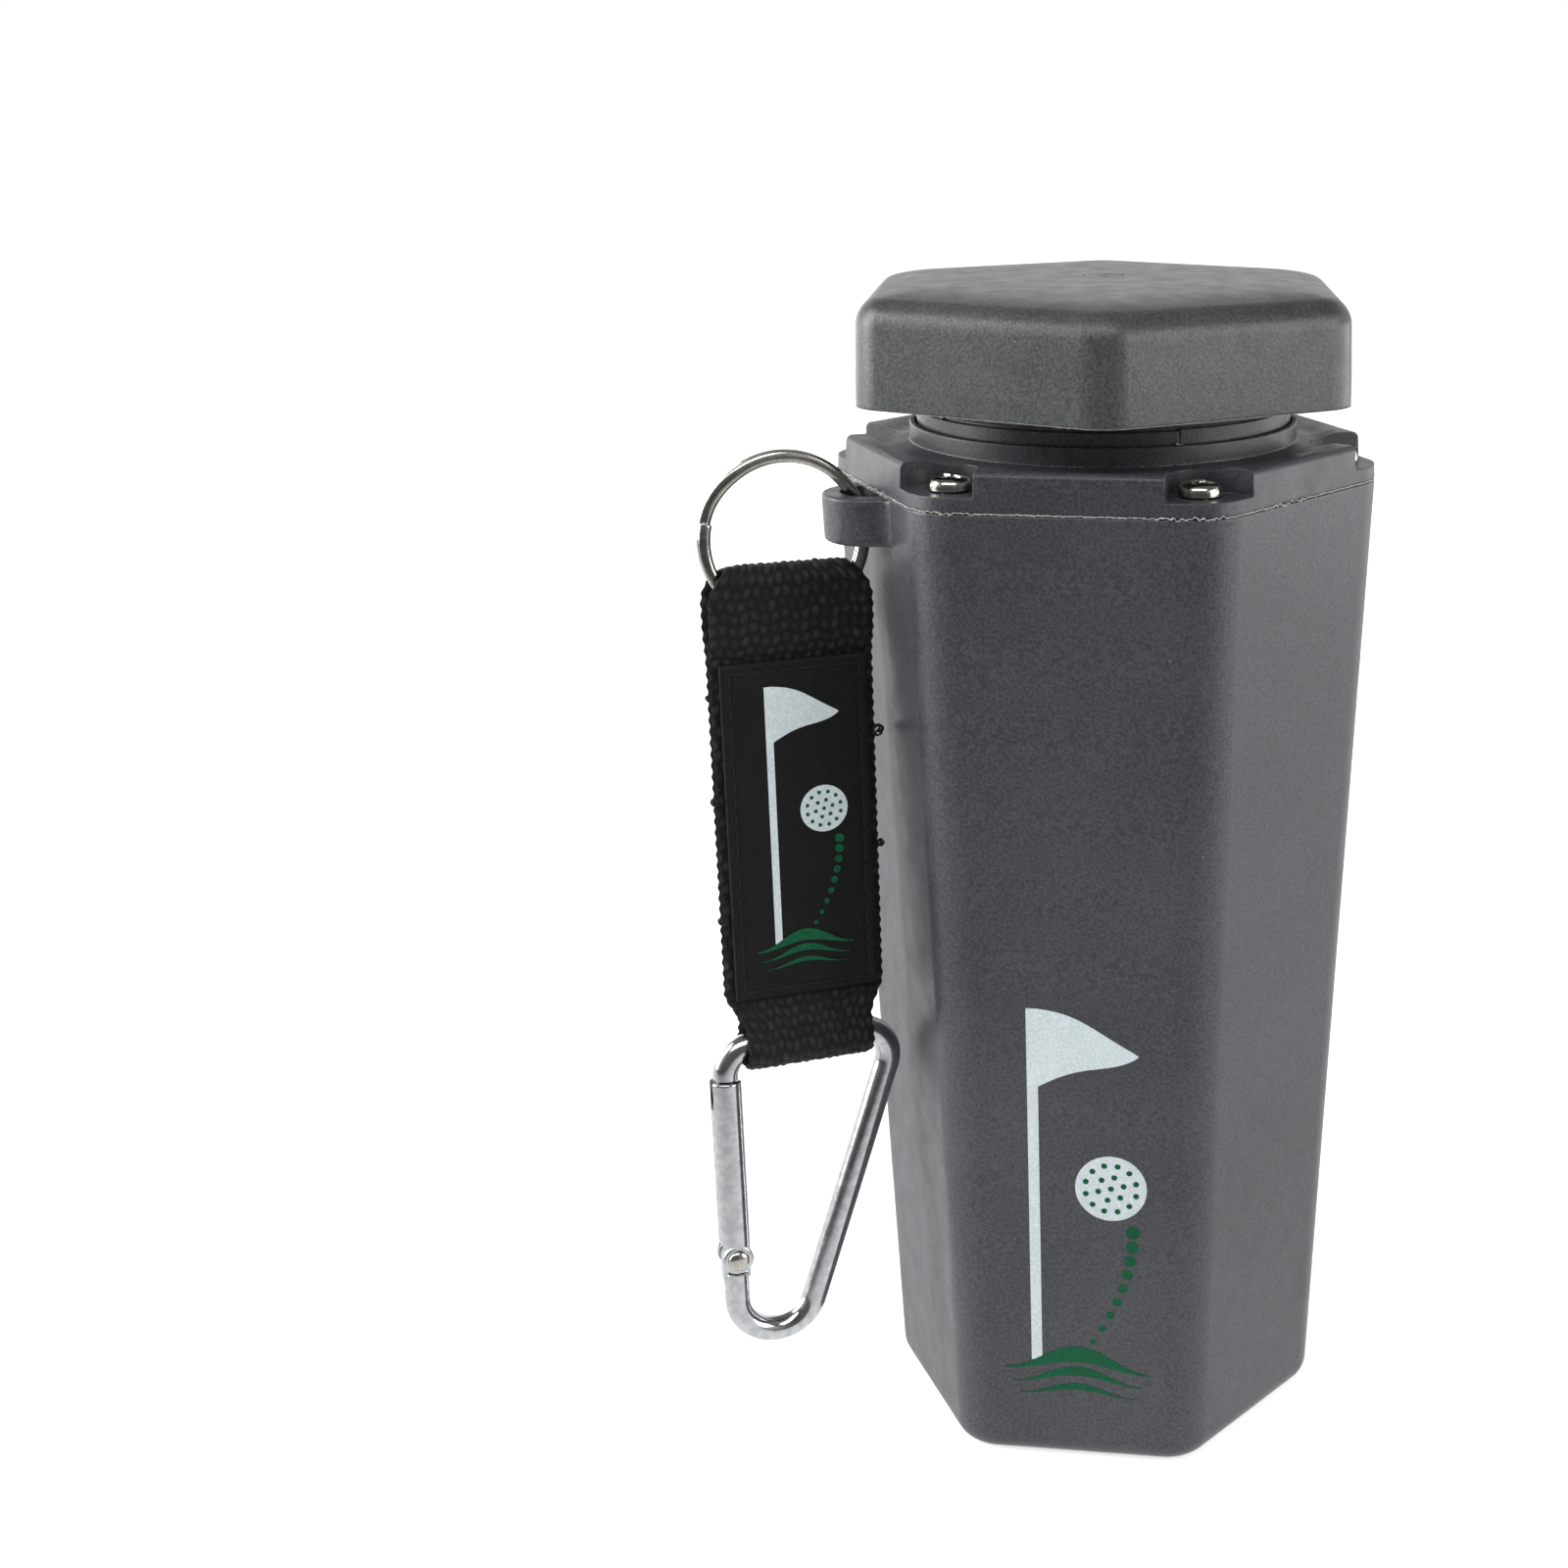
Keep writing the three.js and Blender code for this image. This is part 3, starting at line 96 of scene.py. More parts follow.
class Slot(Enum):
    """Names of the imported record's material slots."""

    PLASTIC = "grey_plastic"
    STEEL = "plated_steel"
    ALUMINIUM = "hook_aluminium"
    FIBRE = "brush_fibre"
    WEBBING = "black_webbing"


# Surfaces as grids of points


def hexagon_sheet(flats: ArrayLike, corner: ArrayLike, height: ArrayLike, steps: int = 14) -> Array:
    """Skin through a stack of rounded hexagons with corners on the X axis.

    A point is the centre of its corner, (flats / 2 - corner) / cos 30 out from the axis along a
    multiple of 60 degrees, plus the corner radius along a heading that sweeps 60 degrees round it.

    Args:
        flats: distance across the flats, one number for each row.
        corner: corner radius of each row.
        height: height of each row.
        steps: faces round each corner.

    Returns:
        Grid of points, rows by columns by 3, its last column the same as its first.
    """
    flats, corner, height = (np.asarray(values, float)[:, None] for values in (flats, corner, height))
    middle = np.repeat(SIXTHS, steps + 1)
    angle = middle + np.tile(np.linspace(-0.5, 0.5, steps + 1) * TURN / 6, 6)
    reach = (flats / 2 - corner) / HEX_COS
    x = reach * np.cos(middle) + corner * np.cos(angle)
    y = reach * np.sin(middle) + corner * np.sin(angle)
    sheet = np.stack(np.broadcast_arrays(x, y, height), -1)
    return np.concatenate([sheet, sheet[:, :1]], 1)


def turned_sheet(profile: ArrayLike, steps: int = 144, start: float = 0.0, end: float = TURN) -> Array:
    """Surface of revolution about Z: (r cos a, r sin a, z) for each profile point and angle a."""
    profile = np.asarray(profile, float)
    angle = np.linspace(start, end, steps + 1)[:, None]
    return np.stack(np.broadcast_arrays(
        profile[:, 0] * np.cos(angle), profile[:, 0] * np.sin(angle), profile[:, 1]
    ), -1)


def sector_sheet(inner: float, outer: float, low: float, high: float,
                 start: float, end: float, steps: int = 16) -> Array:
    """Block of a ring between two angles: a turned rectangle whose two ends are closed."""
    loop = np.array([[inner, low], [outer, low], [outer, high], [inner, high], [inner, low]])
    side = turned_sheet(loop, steps, start, end)
    close = np.repeat(side[[0, -1], :4].mean(1, keepdims=True), len(loop), 1)
    return np.concatenate([close[:1], side, close[1:]])


def prism_sheet(outline: ArrayLike, low: float, high: float) -> Array:
    """Upright prism: an outline at two heights, closed by fans from the middle of the outline."""
    outline = np.asarray(outline, float)
    outline = np.concatenate([outline, outline[:1]])
    middle = np.broadcast_to(outline[:-1].mean(0), outline.shape)
    rows = [(middle, low), (outline, low), (outline, high), (middle, high)]
    return np.stack([np.column_stack([flat, np.full(len(flat), z)]) for flat, z in rows])


def capped(sheet: Array) -> Array:
    """Stack of rings about Z, closed by a fan from the axis at the height of each end ring."""
    ends = [np.broadcast_to([0, 0, sheet[row, 0, 2]], sheet[:1].shape) for row in (0, -1)]
    return np.concatenate([ends[0], sheet, ends[1]])


def rod_sheet(path: Array, radius: float, across: Array, sides: int = 20,
              flat: float = 1.0, dome: float = 1.0) -> Array:
    """Round rod along a path, with domed ends.

    A section is centre + r cos a * (across x tangent) + flat * r sin a * across. Past each end the
    radius falls as a quarter circle, r sqrt(1 - s^2), while the centre moves on by dome * r * s.

    Args:
        path: centre points along the rod.
        radius: radius of the rod.
        across: unit vectors across the path, one for each point or one for all.
        sides: faces round the section.
        flat: thickness of the section along across, as a share of its width.
        dome: height of the end domes as a share of the radius.

    Returns:
        Grid of points, path points by section points by 3.
    """
    tangent = np.gradient(path, axis=0)
    tangent /= np.linalg.norm(tangent, axis=1, keepdims=True)
    across = np.broadcast_to(across, path.shape)
    share = np.sin(np.linspace(0, TURN / 4, 6))[1:, None]
    head = path[0] - tangent[0] * dome * radius * share[::-1]
    tail = path[-1] + tangent[-1] * dome * radius * share
    shrink = np.sqrt(np.clip(1 - share[:, 0] ** 2, 0, 1)) * radius
    centre = np.concatenate([head, path, tail])
    size = np.concatenate([shrink[::-1], np.full(len(path), radius), shrink])[:, None, None]
    tangent, across = (
        np.concatenate([np.repeat(rows[:1], len(share), 0), rows, np.repeat(rows[-1:], len(share), 0)])
        for rows in (tangent, across)
    )
    angle = np.linspace(0, TURN, sides + 1)[None, :, None]
    normal = np.cross(across, tangent)[:, None]
    return centre[:, None] + size * (np.cos(angle) * normal + flat * np.sin(angle) * across[:, None])


def eased(points: ArrayLike, reach: ArrayLike, steps: int = 5) -> Array:
    """Polyline whose inner corners are rounded by quadratic curves.

    Each corner becomes (1 - t)^2 A + 2 t (1 - t) C + t^2 B, where C is the corner and A and B lie
    `reach` from it along its two sides, or half way along a short side.

    Args:
        points: corners of the line.
        reach: one distance, or one for each inner corner.
        steps: pieces of each curve.

    Returns:
        Points of the rounded line.
    """
    points = np.asarray(points, float)
    corner = points[1:-1]
    reach = np.broadcast_to(np.asarray(reach, float), len(corner))[:, None]
    legs = []
    for side in (points[:-2] - corner, points[2:] - corner):
        length = np.linalg.norm(side, axis=1, keepdims=True)
        legs.append(corner + side / length * np.minimum(reach, length / 2))
    t = np.linspace(0, 1, steps + 1)[None, :, None]
    curve = (1 - t) ** 2 * legs[0][:, None] + 2 * t * (1 - t) * corner[:, None] + t ** 2 * legs[1][:, None]
    return np.concatenate([points[:1], curve.reshape(-1, points.shape[1]), points[-1:]])


def arc(x: float, y: float, radius: float, start: float, end: float, steps: int = 16) -> Array:
    """Points of a circle's arc between two angles in degrees, round a centre."""
    angle = np.radians(np.linspace(start, end, steps + 1))
    return np.column_stack([x + radius * np.cos(angle), y + radius * np.sin(angle)])


def circle(radius: float, count: int = 36, x: float = 0.0, y: float = 0.0) -> Array:
    """Evenly spaced points round a circle, none of them twice."""
    return arc(x, y, radius, 0, 360 - 360 / count, count - 1)


def distinct(outline: Array) -> Array:
    """Closed outline without the points that repeat the one before them."""
    step = np.linalg.norm(outline - np.roll(outline, 1, axis=0), axis=1)
    return outline[step > SAME_PLACE / MM]


def strip(left: float, right: float, half: float) -> list[list[float]]:
    """Corners of a rectangle between two x, reaching equally far on both sides of the X axis."""
    return [[left, -half], [right, -half], [right, half], [left, half]]


def run_length(path: Array) -> Array:
    """Distance along a path from its start to each of its points."""
    return np.concatenate([[0], np.cumsum(np.linalg.norm(np.diff(path, axis=0), axis=1))])


def resampled(path: Array, places: Array) -> Array:
    """Points of a path in a plane at given distances along it."""
    along = run_length(path)
    return np.column_stack([np.interp(places, along, path[:, axis]) for axis in (0, 1)])


def heading_turn(heading: float) -> float:
    """Angle about Z in radians that brings local +X to a heading, counted from -Y towards -X."""
    return -TURN / 4 - math.radians(heading)


def spun(points: Array, angle: float) -> Array:
    """Points turned about Z by an angle in radians."""
    cos, sin = math.cos(angle), math.sin(angle)
    return points @ np.array([[cos, -sin, 0], [sin, cos, 0], [0, 0, 1]]).T


def towards(points: Array, heading: float) -> Array:
    """Points turned about Z so that local +X looks to a heading."""
    return spun(points, heading_turn(heading))


def upright(points: Array) -> Array:
    """Points turned about X so that what lay in x and y stands in x and z."""
    return points[..., [0, 2, 1]] * [1, -1, 1]


def smooth_step(value: Array) -> Array:
    """Cubic step 3 t^2 - 2 t^3 of a value held between 0 and 1."""
    t = np.clip(value, 0, 1)
    return t * t * (3 - 2 * t)


def ripple(position: Array, wavelengths: list[float], seed: int) -> Array:
    """Sum of n sine waves with seeded phases, over sqrt n, so about -1 to 1."""
    phases = np.random.default_rng(seed).uniform(0, TURN, len(wavelengths))
    waves = [np.sin(TURN * position / length + phase) for length, phase in zip(wavelengths, phases)]
    return np.sum(waves, 0) / math.sqrt(len(waves))


# Meshes


def linked(name: str, data: bpy.types.ID) -> Piece:
    """New object in the scene that holds a mesh, a curve, a camera or a light."""
    made = bpy.data.objects.new(name, data)
    bpy.context.scene.collection.objects.link(made)
    return made


def mesh_piece(name: str, sheets: list[Array], sharp: float = 32, weighted: bool = True,
               faces: Array | None = None, lift: Array | None = None) -> Piece:
    """Object whose mesh is a set of grids, welded, with its faces pointing out.

    Args:
        name: the object's name.
        sheets: grids of points in millimetres, or one list of points where faces are given.
        sharp: as for shade.
        weighted: as for shade.
        faces: corner numbers of quads, where the points are no grid.
        lift: one number for each point, from 0 in a weave's pits to 1 on its yarns.

    Returns:
        The new object, linked to the scene.
    """
    if faces is None:
        quads, first = [], 0
        for sheet in sheets:
            index = np.arange(sheet[..., 0].size).reshape(sheet.shape[:2]) + first
            block = np.stack([index[:-1, :-1], index[:-1, 1:], index[1:, 1:], index[1:, :-1]], -1)
            quads.append(block.reshape(-1, 4))
            first += index.size
        faces = np.concatenate(quads)
    points = np.concatenate([sheet.reshape(-1, 3) for sheet in sheets]) * MM
    mesh = bpy.data.meshes.new(name)
    mesh.vertices.add(len(points))
    mesh.vertices.foreach_set("co", points.astype(np.float32).ravel())
    mesh.loops.add(faces.size)
    mesh.loops.foreach_set("vertex_index", faces.astype(np.int32).ravel())
    mesh.polygons.add(len(faces))
    mesh.polygons.foreach_set("loop_start", np.arange(0, faces.size, 4, dtype=np.int32))
    mesh.update(calc_edges=True)
    if lift is not None:
        values = mesh.attributes.new("lift", "FLOAT", "POINT").data
        values.foreach_set("value", lift.astype(np.float32).ravel())
    mesh.validate()
    piece = linked(name, mesh)
    shade(piece, sharp, weighted)
    return piece


def weld(piece: Piece) -> None:
    """Merges the double points of a piece and turns its faces outwards."""
    work = bmesh.new()
    work.from_mesh(piece.data)
    bmesh.ops.remove_doubles(work, verts=work.verts, dist=SAME_PLACE)
    bmesh.ops.dissolve_degenerate(work, edges=work.edges, dist=SAME_PLACE / 4)
    bmesh.ops.recalc_face_normals(work, faces=work.faces)
    work.to_mesh(piece.data)
    work.free()


def shade(piece: Piece, sharp: float, weighted: bool = True) -> None:
    """Welds a piece and shades it smooth, with sharp edges kept sharp and flat faces flat.

    Args:
        piece: the piece.
        sharp: edges that turn by more than this many degrees stay sharp.
        weighted: whether large faces hold their own flatness at their edges.
    """
    weld(piece)
    piece.data.polygons.foreach_set("use_smooth", np.ones(len(piece.data.polygons), bool))
    piece.data.set_sharp_from_angle(angle=math.radians(sharp))
    if weighted:
        modifier = piece.modifiers.new("flat_faces", "WEIGHTED_NORMAL")
        modifier.keep_sharp = True
        modifier.weight = 100


def evaluated_mesh(piece: Piece) -> bpy.types.Mesh:
    """New mesh of a curve, or of a piece with its modifiers."""
    graph = bpy.context.evaluated_depsgraph_get()
    return bpy.data.meshes.new_from_object(piece.evaluated_get(graph))


def is_closed(piece: Piece) -> bool:
    """True where every edge of a mesh is shared by exactly two faces."""
    edges = np.empty(len(piece.data.loops), np.int32)
    piece.data.loops.foreach_get("edge_index", edges)
    return bool((np.bincount(edges, minlength=len(piece.data.edges)) == 2).all())


def carve(piece: Piece, tools: list[Piece], how: Carve) -> Piece:
    """Combines a piece with other solids, which are used up. An open one stops the script.

    Args:
        piece: the solid that is kept.
        tools: the solids to cut away, to join or to keep within.
        how: the kind of combination.

    Returns:
        The piece.
    """
    for solid in (piece, *tools):
        if not is_closed(solid):
            raise ValueError(f"{solid.name} is not closed, so {piece.name} can't be made with it")
    piece.modifiers.clear()
    for tool in tools:
        tool.modifiers.clear()
        modifier = piece.modifiers.new(how.name, "BOOLEAN")
        modifier.operation = how.value
        modifier.solver = "MANIFOLD"
        modifier.object = tool
    old, made = piece.data, evaluated_mesh(piece)
    piece.modifiers.clear()
    piece.data = made
    bpy.data.meshes.remove(old)
    for tool in tools:
        bpy.data.objects.remove(tool)
    return piece


def tool_solid(sheet: Array) -> Piece:
    """Solid used only to cut or join another."""
    return mesh_piece("tool", [sheet], weighted=False)


def united(name: str, pieces: list[Piece]) -> Piece:
    """One object that holds the meshes of several, which are used up.

    Args:
        name: the new object's name.
        pieces: the objects to bring together.

    Returns:
        The new object.
    """
    whole = bmesh.new()
    for part in pieces:
        part.modifiers.clear()
        whole.from_mesh(part.data)
    mesh = bpy.data.meshes.new(name)
    whole.to_mesh(mesh)
    whole.free()
    for part in pieces:
        bpy.data.objects.remove(part)
    return linked(name, mesh)


def flat_plate(name: str, outlines: list[Array], thickness: float, bevel: float) -> Piece:
    """Plate with holes and rounded edges, from closed outlines in the plane of X and Y.

    Args:
        name: the object's name.
        outlines: the outer outline first, then one for each hole.
        thickness: its whole thickness, centred on height zero.
        bevel: radius of its edges.

    Returns:
        The plate, lying flat.
    """
    curve = bpy.data.curves.new(name, "CURVE")
    curve.dimensions = "2D"
    curve.fill_mode = "BOTH"
    curve.extrude = (thickness / 2 - bevel) * MM
    curve.bevel_depth = bevel * MM
    curve.bevel_resolution = 3
    curve.offset = -bevel * MM
    for outline in outlines:
        outline = distinct(outline)
        spline = curve.splines.new("POLY")
        spline.points.add(len(outline) - 1)
        flat = np.column_stack([outline * MM, np.zeros(len(outline)), np.ones(len(outline))])
        spline.points.foreach_set("co", flat.ravel())
        spline.use_cyclic_u = True
    drawn = linked(name, curve)
    mesh = evaluated_mesh(drawn)
    bpy.data.objects.remove(drawn)
    bpy.data.curves.remove(curve)
    piece = linked(name, mesh)
    weld(piece)
    return piece


def moved(piece: Piece, place: Place) -> Piece:
    """Moves a mesh, with its object left at the origin."""
    points = np.empty(3 * len(piece.data.vertices), np.float32)
    piece.data.vertices.foreach_get("co", points)
    points = place(points.reshape(-1, 3).astype(float) / MM) * MM
    piece.data.vertices.foreach_set("co", points.astype(np.float32).ravel())
    piece.data.update()
    return piece


def dress(piece: Piece, material: bpy.types.Material, body: str, slot: Slot,
          replaced: tuple[str, ...] = ()) -> Piece:
    """Gives a piece its finish, its body and the nodes that it stands for.

    Args:
        piece: the finished object.
        material: its finish.
        body: the body that carries it.
        slot: the record's slot for its finish; not used.
        replaced: CAD nodes that it replaces.

    Returns:
        The piece.
    """
    piece.data.materials.clear()
    piece.data.materials.append(material)
    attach(piece, body)
    if replaced:
        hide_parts(*replaced)
    log.info("%s: %d faces on %s", piece.name, len(piece.data.polygons), body)
    return piece


# Finishes


def linear(code: str) -> tuple[float, float, float, float]:
    """Linear colour of an sRGB hex code such as 5a5c60."""
    parts = [int(code[i:i + 2], 16) / 255 for i in (0, 2, 4)]
    parts = [c / 12.92 if c <= 0.04045 else ((c + 0.055) / 1.055) ** 2.4 for c in parts]
    return (*parts, 1.0)


def blank_tree(owner: bpy.types.Material | bpy.types.World) -> Tree:
    """Empty node tree of a material or the world."""
    owner.use_nodes = True
    owner.node_tree.nodes.clear()
    return owner.node_tree


def add_node(tree: Tree, kind: str, links: dict[str | int, object] | None = None,
             **settings: object) -> bpy.types.Node:
    """Adds a node with its settings, and sets or links its inputs.

    Args:
        tree: the node tree.
        kind: the node's type name.
        links: for each input, by name or number, a value or the output that feeds it.
        **settings: properties of the node.

    Returns:
        The new node.
    """
    made = tree.nodes.new(kind)
    for name, value in settings.items():
        setattr(made, name, value)
    for name, value in (links or {}).items():
        if isinstance(value, Socket):
            tree.links.new(value, made.inputs[name])
        else:
            made.inputs[name].default_value = value
    return made


# Sockets of the Mix node that carry colours
MIX_FIRST, MIX_SECOND, MIX_RESULT = 6, 7, 2
# Sizes in millimetres: patches of uneven gloss, cells with one speck each, chips along an edge
GLOSS_PATCH, DUST_CELL, CHIP = 4.0, 2.4, 1.6
DUST_TONE = "a9aaa8"


@dataclass(frozen=True)
class Finish:
    """A surface finish: a name, two close tones, and how rough and how grained it is.

    Mottle and grain are patch sizes, and grain height and edge radius are depths, in millimetres.
    Its methods take the material's node tree and, as place, its Object coordinates.
    """

    name: str
    light: str
    dark: str
    roughness: float = 0.5
    roughness_spread: float = 0.06
    metallic: float = 0.0
    specular: float = 0.5
    mottle: float = 12.0
    grain: float = 0.5
    grain_height: float = 0.02
    edge_radius: float = 0.0
    # Paler tone of the edges: wear and painted highlight
    edge_wear_and_highlight_tone: str = ""
    sheen: float = 0.0
    dust: float = 0.0
    speck_share: float = 0.72
    tone_stops: tuple[float, float] = (0.39, 0.61)

    def material(self) -> bpy.types.Material:
        """Makes the finish's material, or finds it where it is made already."""
        return bpy.data.materials.get(self.name) or self.build()

    def build(self) -> bpy.types.Material:
        """Builds the nodes: mottled tone, uneven roughness, fine grain and eased edges, paler with wear and
        painted highlight.

        Returns:
            The new material.
        """
        material = bpy.data.materials.new(self.name)
        tree = blank_tree(material)
        place = add_node(tree, "ShaderNodeTexCoord").outputs["Object"]
        tone = self.tone(tree, place)
        if self.dust:
            tone = self.dusted(tree, place, tone)
        normal = None
        if self.edge_radius:
            bevel = add_node(tree, "ShaderNodeBevel", {"Radius": self.edge_radius * MM}, samples=6)
            normal = bevel.outputs["Normal"]
            # Paler edges: part wear, part painted highlight
            tone = self.scuffed_and_highlit_edges(tree, place, tone, normal)
        patch = add_node(tree, "ShaderNodeTexNoise", {
            "Vector": place, "Scale": 1 / (GLOSS_PATCH * MM), "Detail": 3.0,
        })
        rough = add_node(tree, "ShaderNodeMapRange", {
            "Value": patch.outputs["Fac"], "From Min": 0.3, "From Max": 0.7,
            "To Min": self.roughness - self.roughness_spread,
            "To Max": self.roughness + self.roughness_spread,
        })
        shader = add_node(tree, "ShaderNodeBsdfPrincipled", {
            "Base Color": tone, "Roughness": rough.outputs["Result"], "Metallic": self.metallic,
            "Specular IOR Level": self.specular, "Sheen Weight": self.sheen,
            "Normal": self.relief(tree, place, normal),
        })
        add_node(tree, "ShaderNodeOutputMaterial", {"Surface": shader.outputs["BSDF"]})
        return material

    def tone(self, tree: Tree, place: Socket) -> Socket:
        """Colour that drifts between the two tones in broad soft patches and fine specks.

        Returns:
            The colour.
        """
        broad = add_node(tree, "ShaderNodeTexNoise", {
            "Vector": place, "Scale": 1 / (self.mottle * MM), "Detail": 2.0,
        })
        speck = add_node(tree, "ShaderNodeTexNoise", {
            "Vector": place, "Scale": 1 / (self.grain * MM), "Detail": 1.0,
        })
        mixed = add_node(tree, "ShaderNodeMix", {
            "Factor": self.speck_share, "A": broad.outputs["Fac"], "B": speck.outputs["Fac"],
        })
        ramp = add_node(tree, "ShaderNodeValToRGB", {0: mixed.outputs["Result"]})
        for element, stop, code in zip(ramp.color_ramp.elements, self.tone_stops, (self.dark, self.light)):
            element.position, element.color = stop, linear(code)
        return ramp.outputs["Color"]

    def dusted(self, tree: Tree, place: Socket, tone: Socket) -> Socket:
        """Pale specks of dust and nicks, one at most to each cell, and most cells bare.

        Args:
            tone: colour of the clean surface.

        Returns:
            The colour with its specks.
        """
        cell = add_node(tree, "ShaderNodeTexVoronoi", {"Vector": place, "Scale": 1 / (DUST_CELL * MM)})
        chance = add_node(tree, "ShaderNodeSeparateColor", {0: cell.outputs["Color"]})
        size = add_node(tree, "ShaderNodeMapRange", {
            "Value": chance.outputs[0], "From Min": 0.6, "From Max": 1.0, "To Min": 0.0, "To Max": 0.055,
        })
        near = add_node(tree, "ShaderNodeMath", {
            0: cell.outputs["Distance"], 1: size.outputs["Result"],
        }, operation="LESS_THAN")
        share = add_node(tree, "ShaderNodeMath", {0: near.outputs[0], 1: self.dust}, operation="MULTIPLY")
        return add_node(tree, "ShaderNodeMix", {
            0: share.outputs[0], MIX_FIRST: tone, MIX_SECOND: linear(DUST_TONE),
        }, data_type="RGBA").outputs[MIX_RESULT]

    def scuffed_and_highlit_edges(self, tree: Tree, place: Socket, tone: Socket, eased_normal: Socket) -> Socket:
        """Paler tone along the edges, where the eased normal departs from the face's own: wear in chips and
        painted highlight.

        Args:
            tone: colour of the whole surface.
            eased_normal: normal that rounds the edges.

        Returns:
            The colour with its paler edges.
        """
        face = add_node(tree, "ShaderNodeNewGeometry").outputs["Normal"]
        facing = add_node(tree, "ShaderNodeVectorMath", {0: eased_normal, 1: face}, operation="DOT_PRODUCT")
        chips = add_node(tree, "ShaderNodeTexNoise", {
            "Vector": place, "Scale": 1 / (CHIP * MM), "Detail": 4.0,
        })
        edge = add_node(tree, "ShaderNodeMapRange", {
            "Value": facing.outputs["Value"], "From Min": 0.97, "From Max": 0.80,
        })
        # Share of the paler tone: some on every edge as painted highlight, more in chips of wear
        edge_wear_and_highlight_share = add_node(tree, "ShaderNodeMapRange", {
            "Value": chips.outputs["Fac"], "From Min": 0.45, "From Max": 0.7, "To Min": 0.12, "To Max": 0.8,
        })
        share = add_node(tree, "ShaderNodeMath", {
            0: edge.outputs["Result"], 1: edge_wear_and_highlight_share.outputs["Result"],
        }, operation="MULTIPLY")
        return add_node(tree, "ShaderNodeMix", {
            0: share.outputs[0], MIX_FIRST: tone, MIX_SECOND: linear(self.edge_wear_and_highlight_tone),
        }, data_type="RGBA").outputs[MIX_RESULT]

    def relief(self, tree: Tree, place: Socket, normal: Socket | None) -> Socket:
        """Fine grain of the surface as a bump.

        Args:
            normal: normal that the bump starts from, where it isn't the face's own.

        Returns:
            The normal.
        """
        grain = add_node(tree, "ShaderNodeTexNoise", {
            "Vector": place, "Scale": 1 / (self.grain * MM), "Detail": 2.0, "Roughness": 0.6,
        })
        links = {"Height": grain.outputs["Fac"], "Strength": 1.0, "Distance": self.grain_height * MM}
        if normal is not None:
            links["Normal"] = normal
        return add_node(tree, "ShaderNodeBump", links).outputs["Normal"]


@dataclass(frozen=True)
class Woven(Finish):
    """Finish of a coarse weave, with painted shade that darkens the pits between its yarns."""

    # Colour of the painted shade in the weave's pits
    pit_shade: str = "000000"

    def tone(self, tree: Tree, place: Socket) -> Socket:
        """Tone that follows the weave's own lift attribute, with painted shade in the pits and the yarn's
        tone on the yarns.
        """
        yarn = super().tone(tree, place)
        lift = add_node(tree, "ShaderNodeAttribute", attribute_name="lift").outputs["Fac"]
        share = add_node(tree, "ShaderNodeMapRange", {"Value": lift, "From Min": 0.25, "From Max": 0.8})
        # Painted shade: darkest where the lift is lowest, in the weave's pits
        return add_node(tree, "ShaderNodeMix", {
            0: share.outputs["Result"], MIX_FIRST: linear(self.pit_shade), MIX_SECOND: yarn,
        }, data_type="RGBA").outputs[MIX_RESULT]


# Polypropylene moulded in a spark-eroded tool: dull grey skin with a fine even grain, and edges paler with
# wear and painted highlight
CUP_PLASTIC = Finish("moulded_polypropylene", "4b4c51", "36373c", 0.36, 0.05, specular=0.6, grain=0.45,
                     grain_height=0.028, edge_radius=0.35, edge_wear_and_highlight_tone="7b7c7b", mottle=30, dust=0.6)
# A darker, duller copy of the cup's finish: its darker tones are painted shade on the collar
COLLAR_PLASTIC_PAINTED_SHADE = replace(CUP_PLASTIC, name="moulded_polypropylene_collar_painted_shade", light="44454a", dark="323338",
                         roughness=0.39, specular=0.42)
# The cap comes from a hotter tool and has a slightly warmer skin
CAP_PLASTIC = Finish("moulded_polypropylene_cap", "4d5051", "36383a", 0.36, 0.05, grain=0.42,
                     grain_height=0.034, edge_radius=0.3, edge_wear_and_highlight_tone="7d7d7a", mottle=26, dust=0.5)
# Smooth polypropylene of the inner pieces, from a polished tool
INNER_PLASTIC = Finish("smooth_polypropylene", "47494d", "3d3f42", 0.36, 0.04, grain=0.9,
                       grain_height=0.006, edge_radius=0.25, edge_wear_and_highlight_tone="6f7070", mottle=25)
# Thin flash squeezed out of the moulds' parting line: pale where it is thin and stretched
FLASH = Finish("parting_line_flash", "d2d1cc", "8d8d89", 0.55, 0.05, mottle=3, grain=0.3, grain_height=0.01)
# Nitrile rubber of the seals: black and dull
RUBBER = Finish("nitrile_rubber", "1f1f20", "161617", 0.75, 0.05, mottle=8, grain=0.4, grain_height=0.01)
# Nickel-plated steel of the screws: bright, a little yellow, with faint pits
NICKEL = Finish("nickel_plated_steel", "d8d4cb", "c3bfb5", 0.16, 0.05, metallic=1.0, mottle=1.5,
                grain=0.25, grain_height=0.002)
# Spring steel of the split ring, nickel plated
SPRING_STEEL = Finish("nickel_plated_spring_steel", "d2cfc8", "b7b4ad", 0.2, 0.06, metallic=1.0,
                      mottle=2, grain=0.3, grain_height=0.002)
# Galvanised wire of the brush cores: grey and slightly rough
WIRE = Finish("galvanised_wire", "b4b3ae", "908f8a", 0.34, 0.08, metallic=1.0, mottle=1.2,
              grain=0.2, grain_height=0.003)
# Nylon strands: milky, with a soft gloss
NYLON = Finish("nylon_strand", "efece4", "d9d5c9", 0.4, 0.06, mottle=4, grain=0.4, grain_height=0.004)
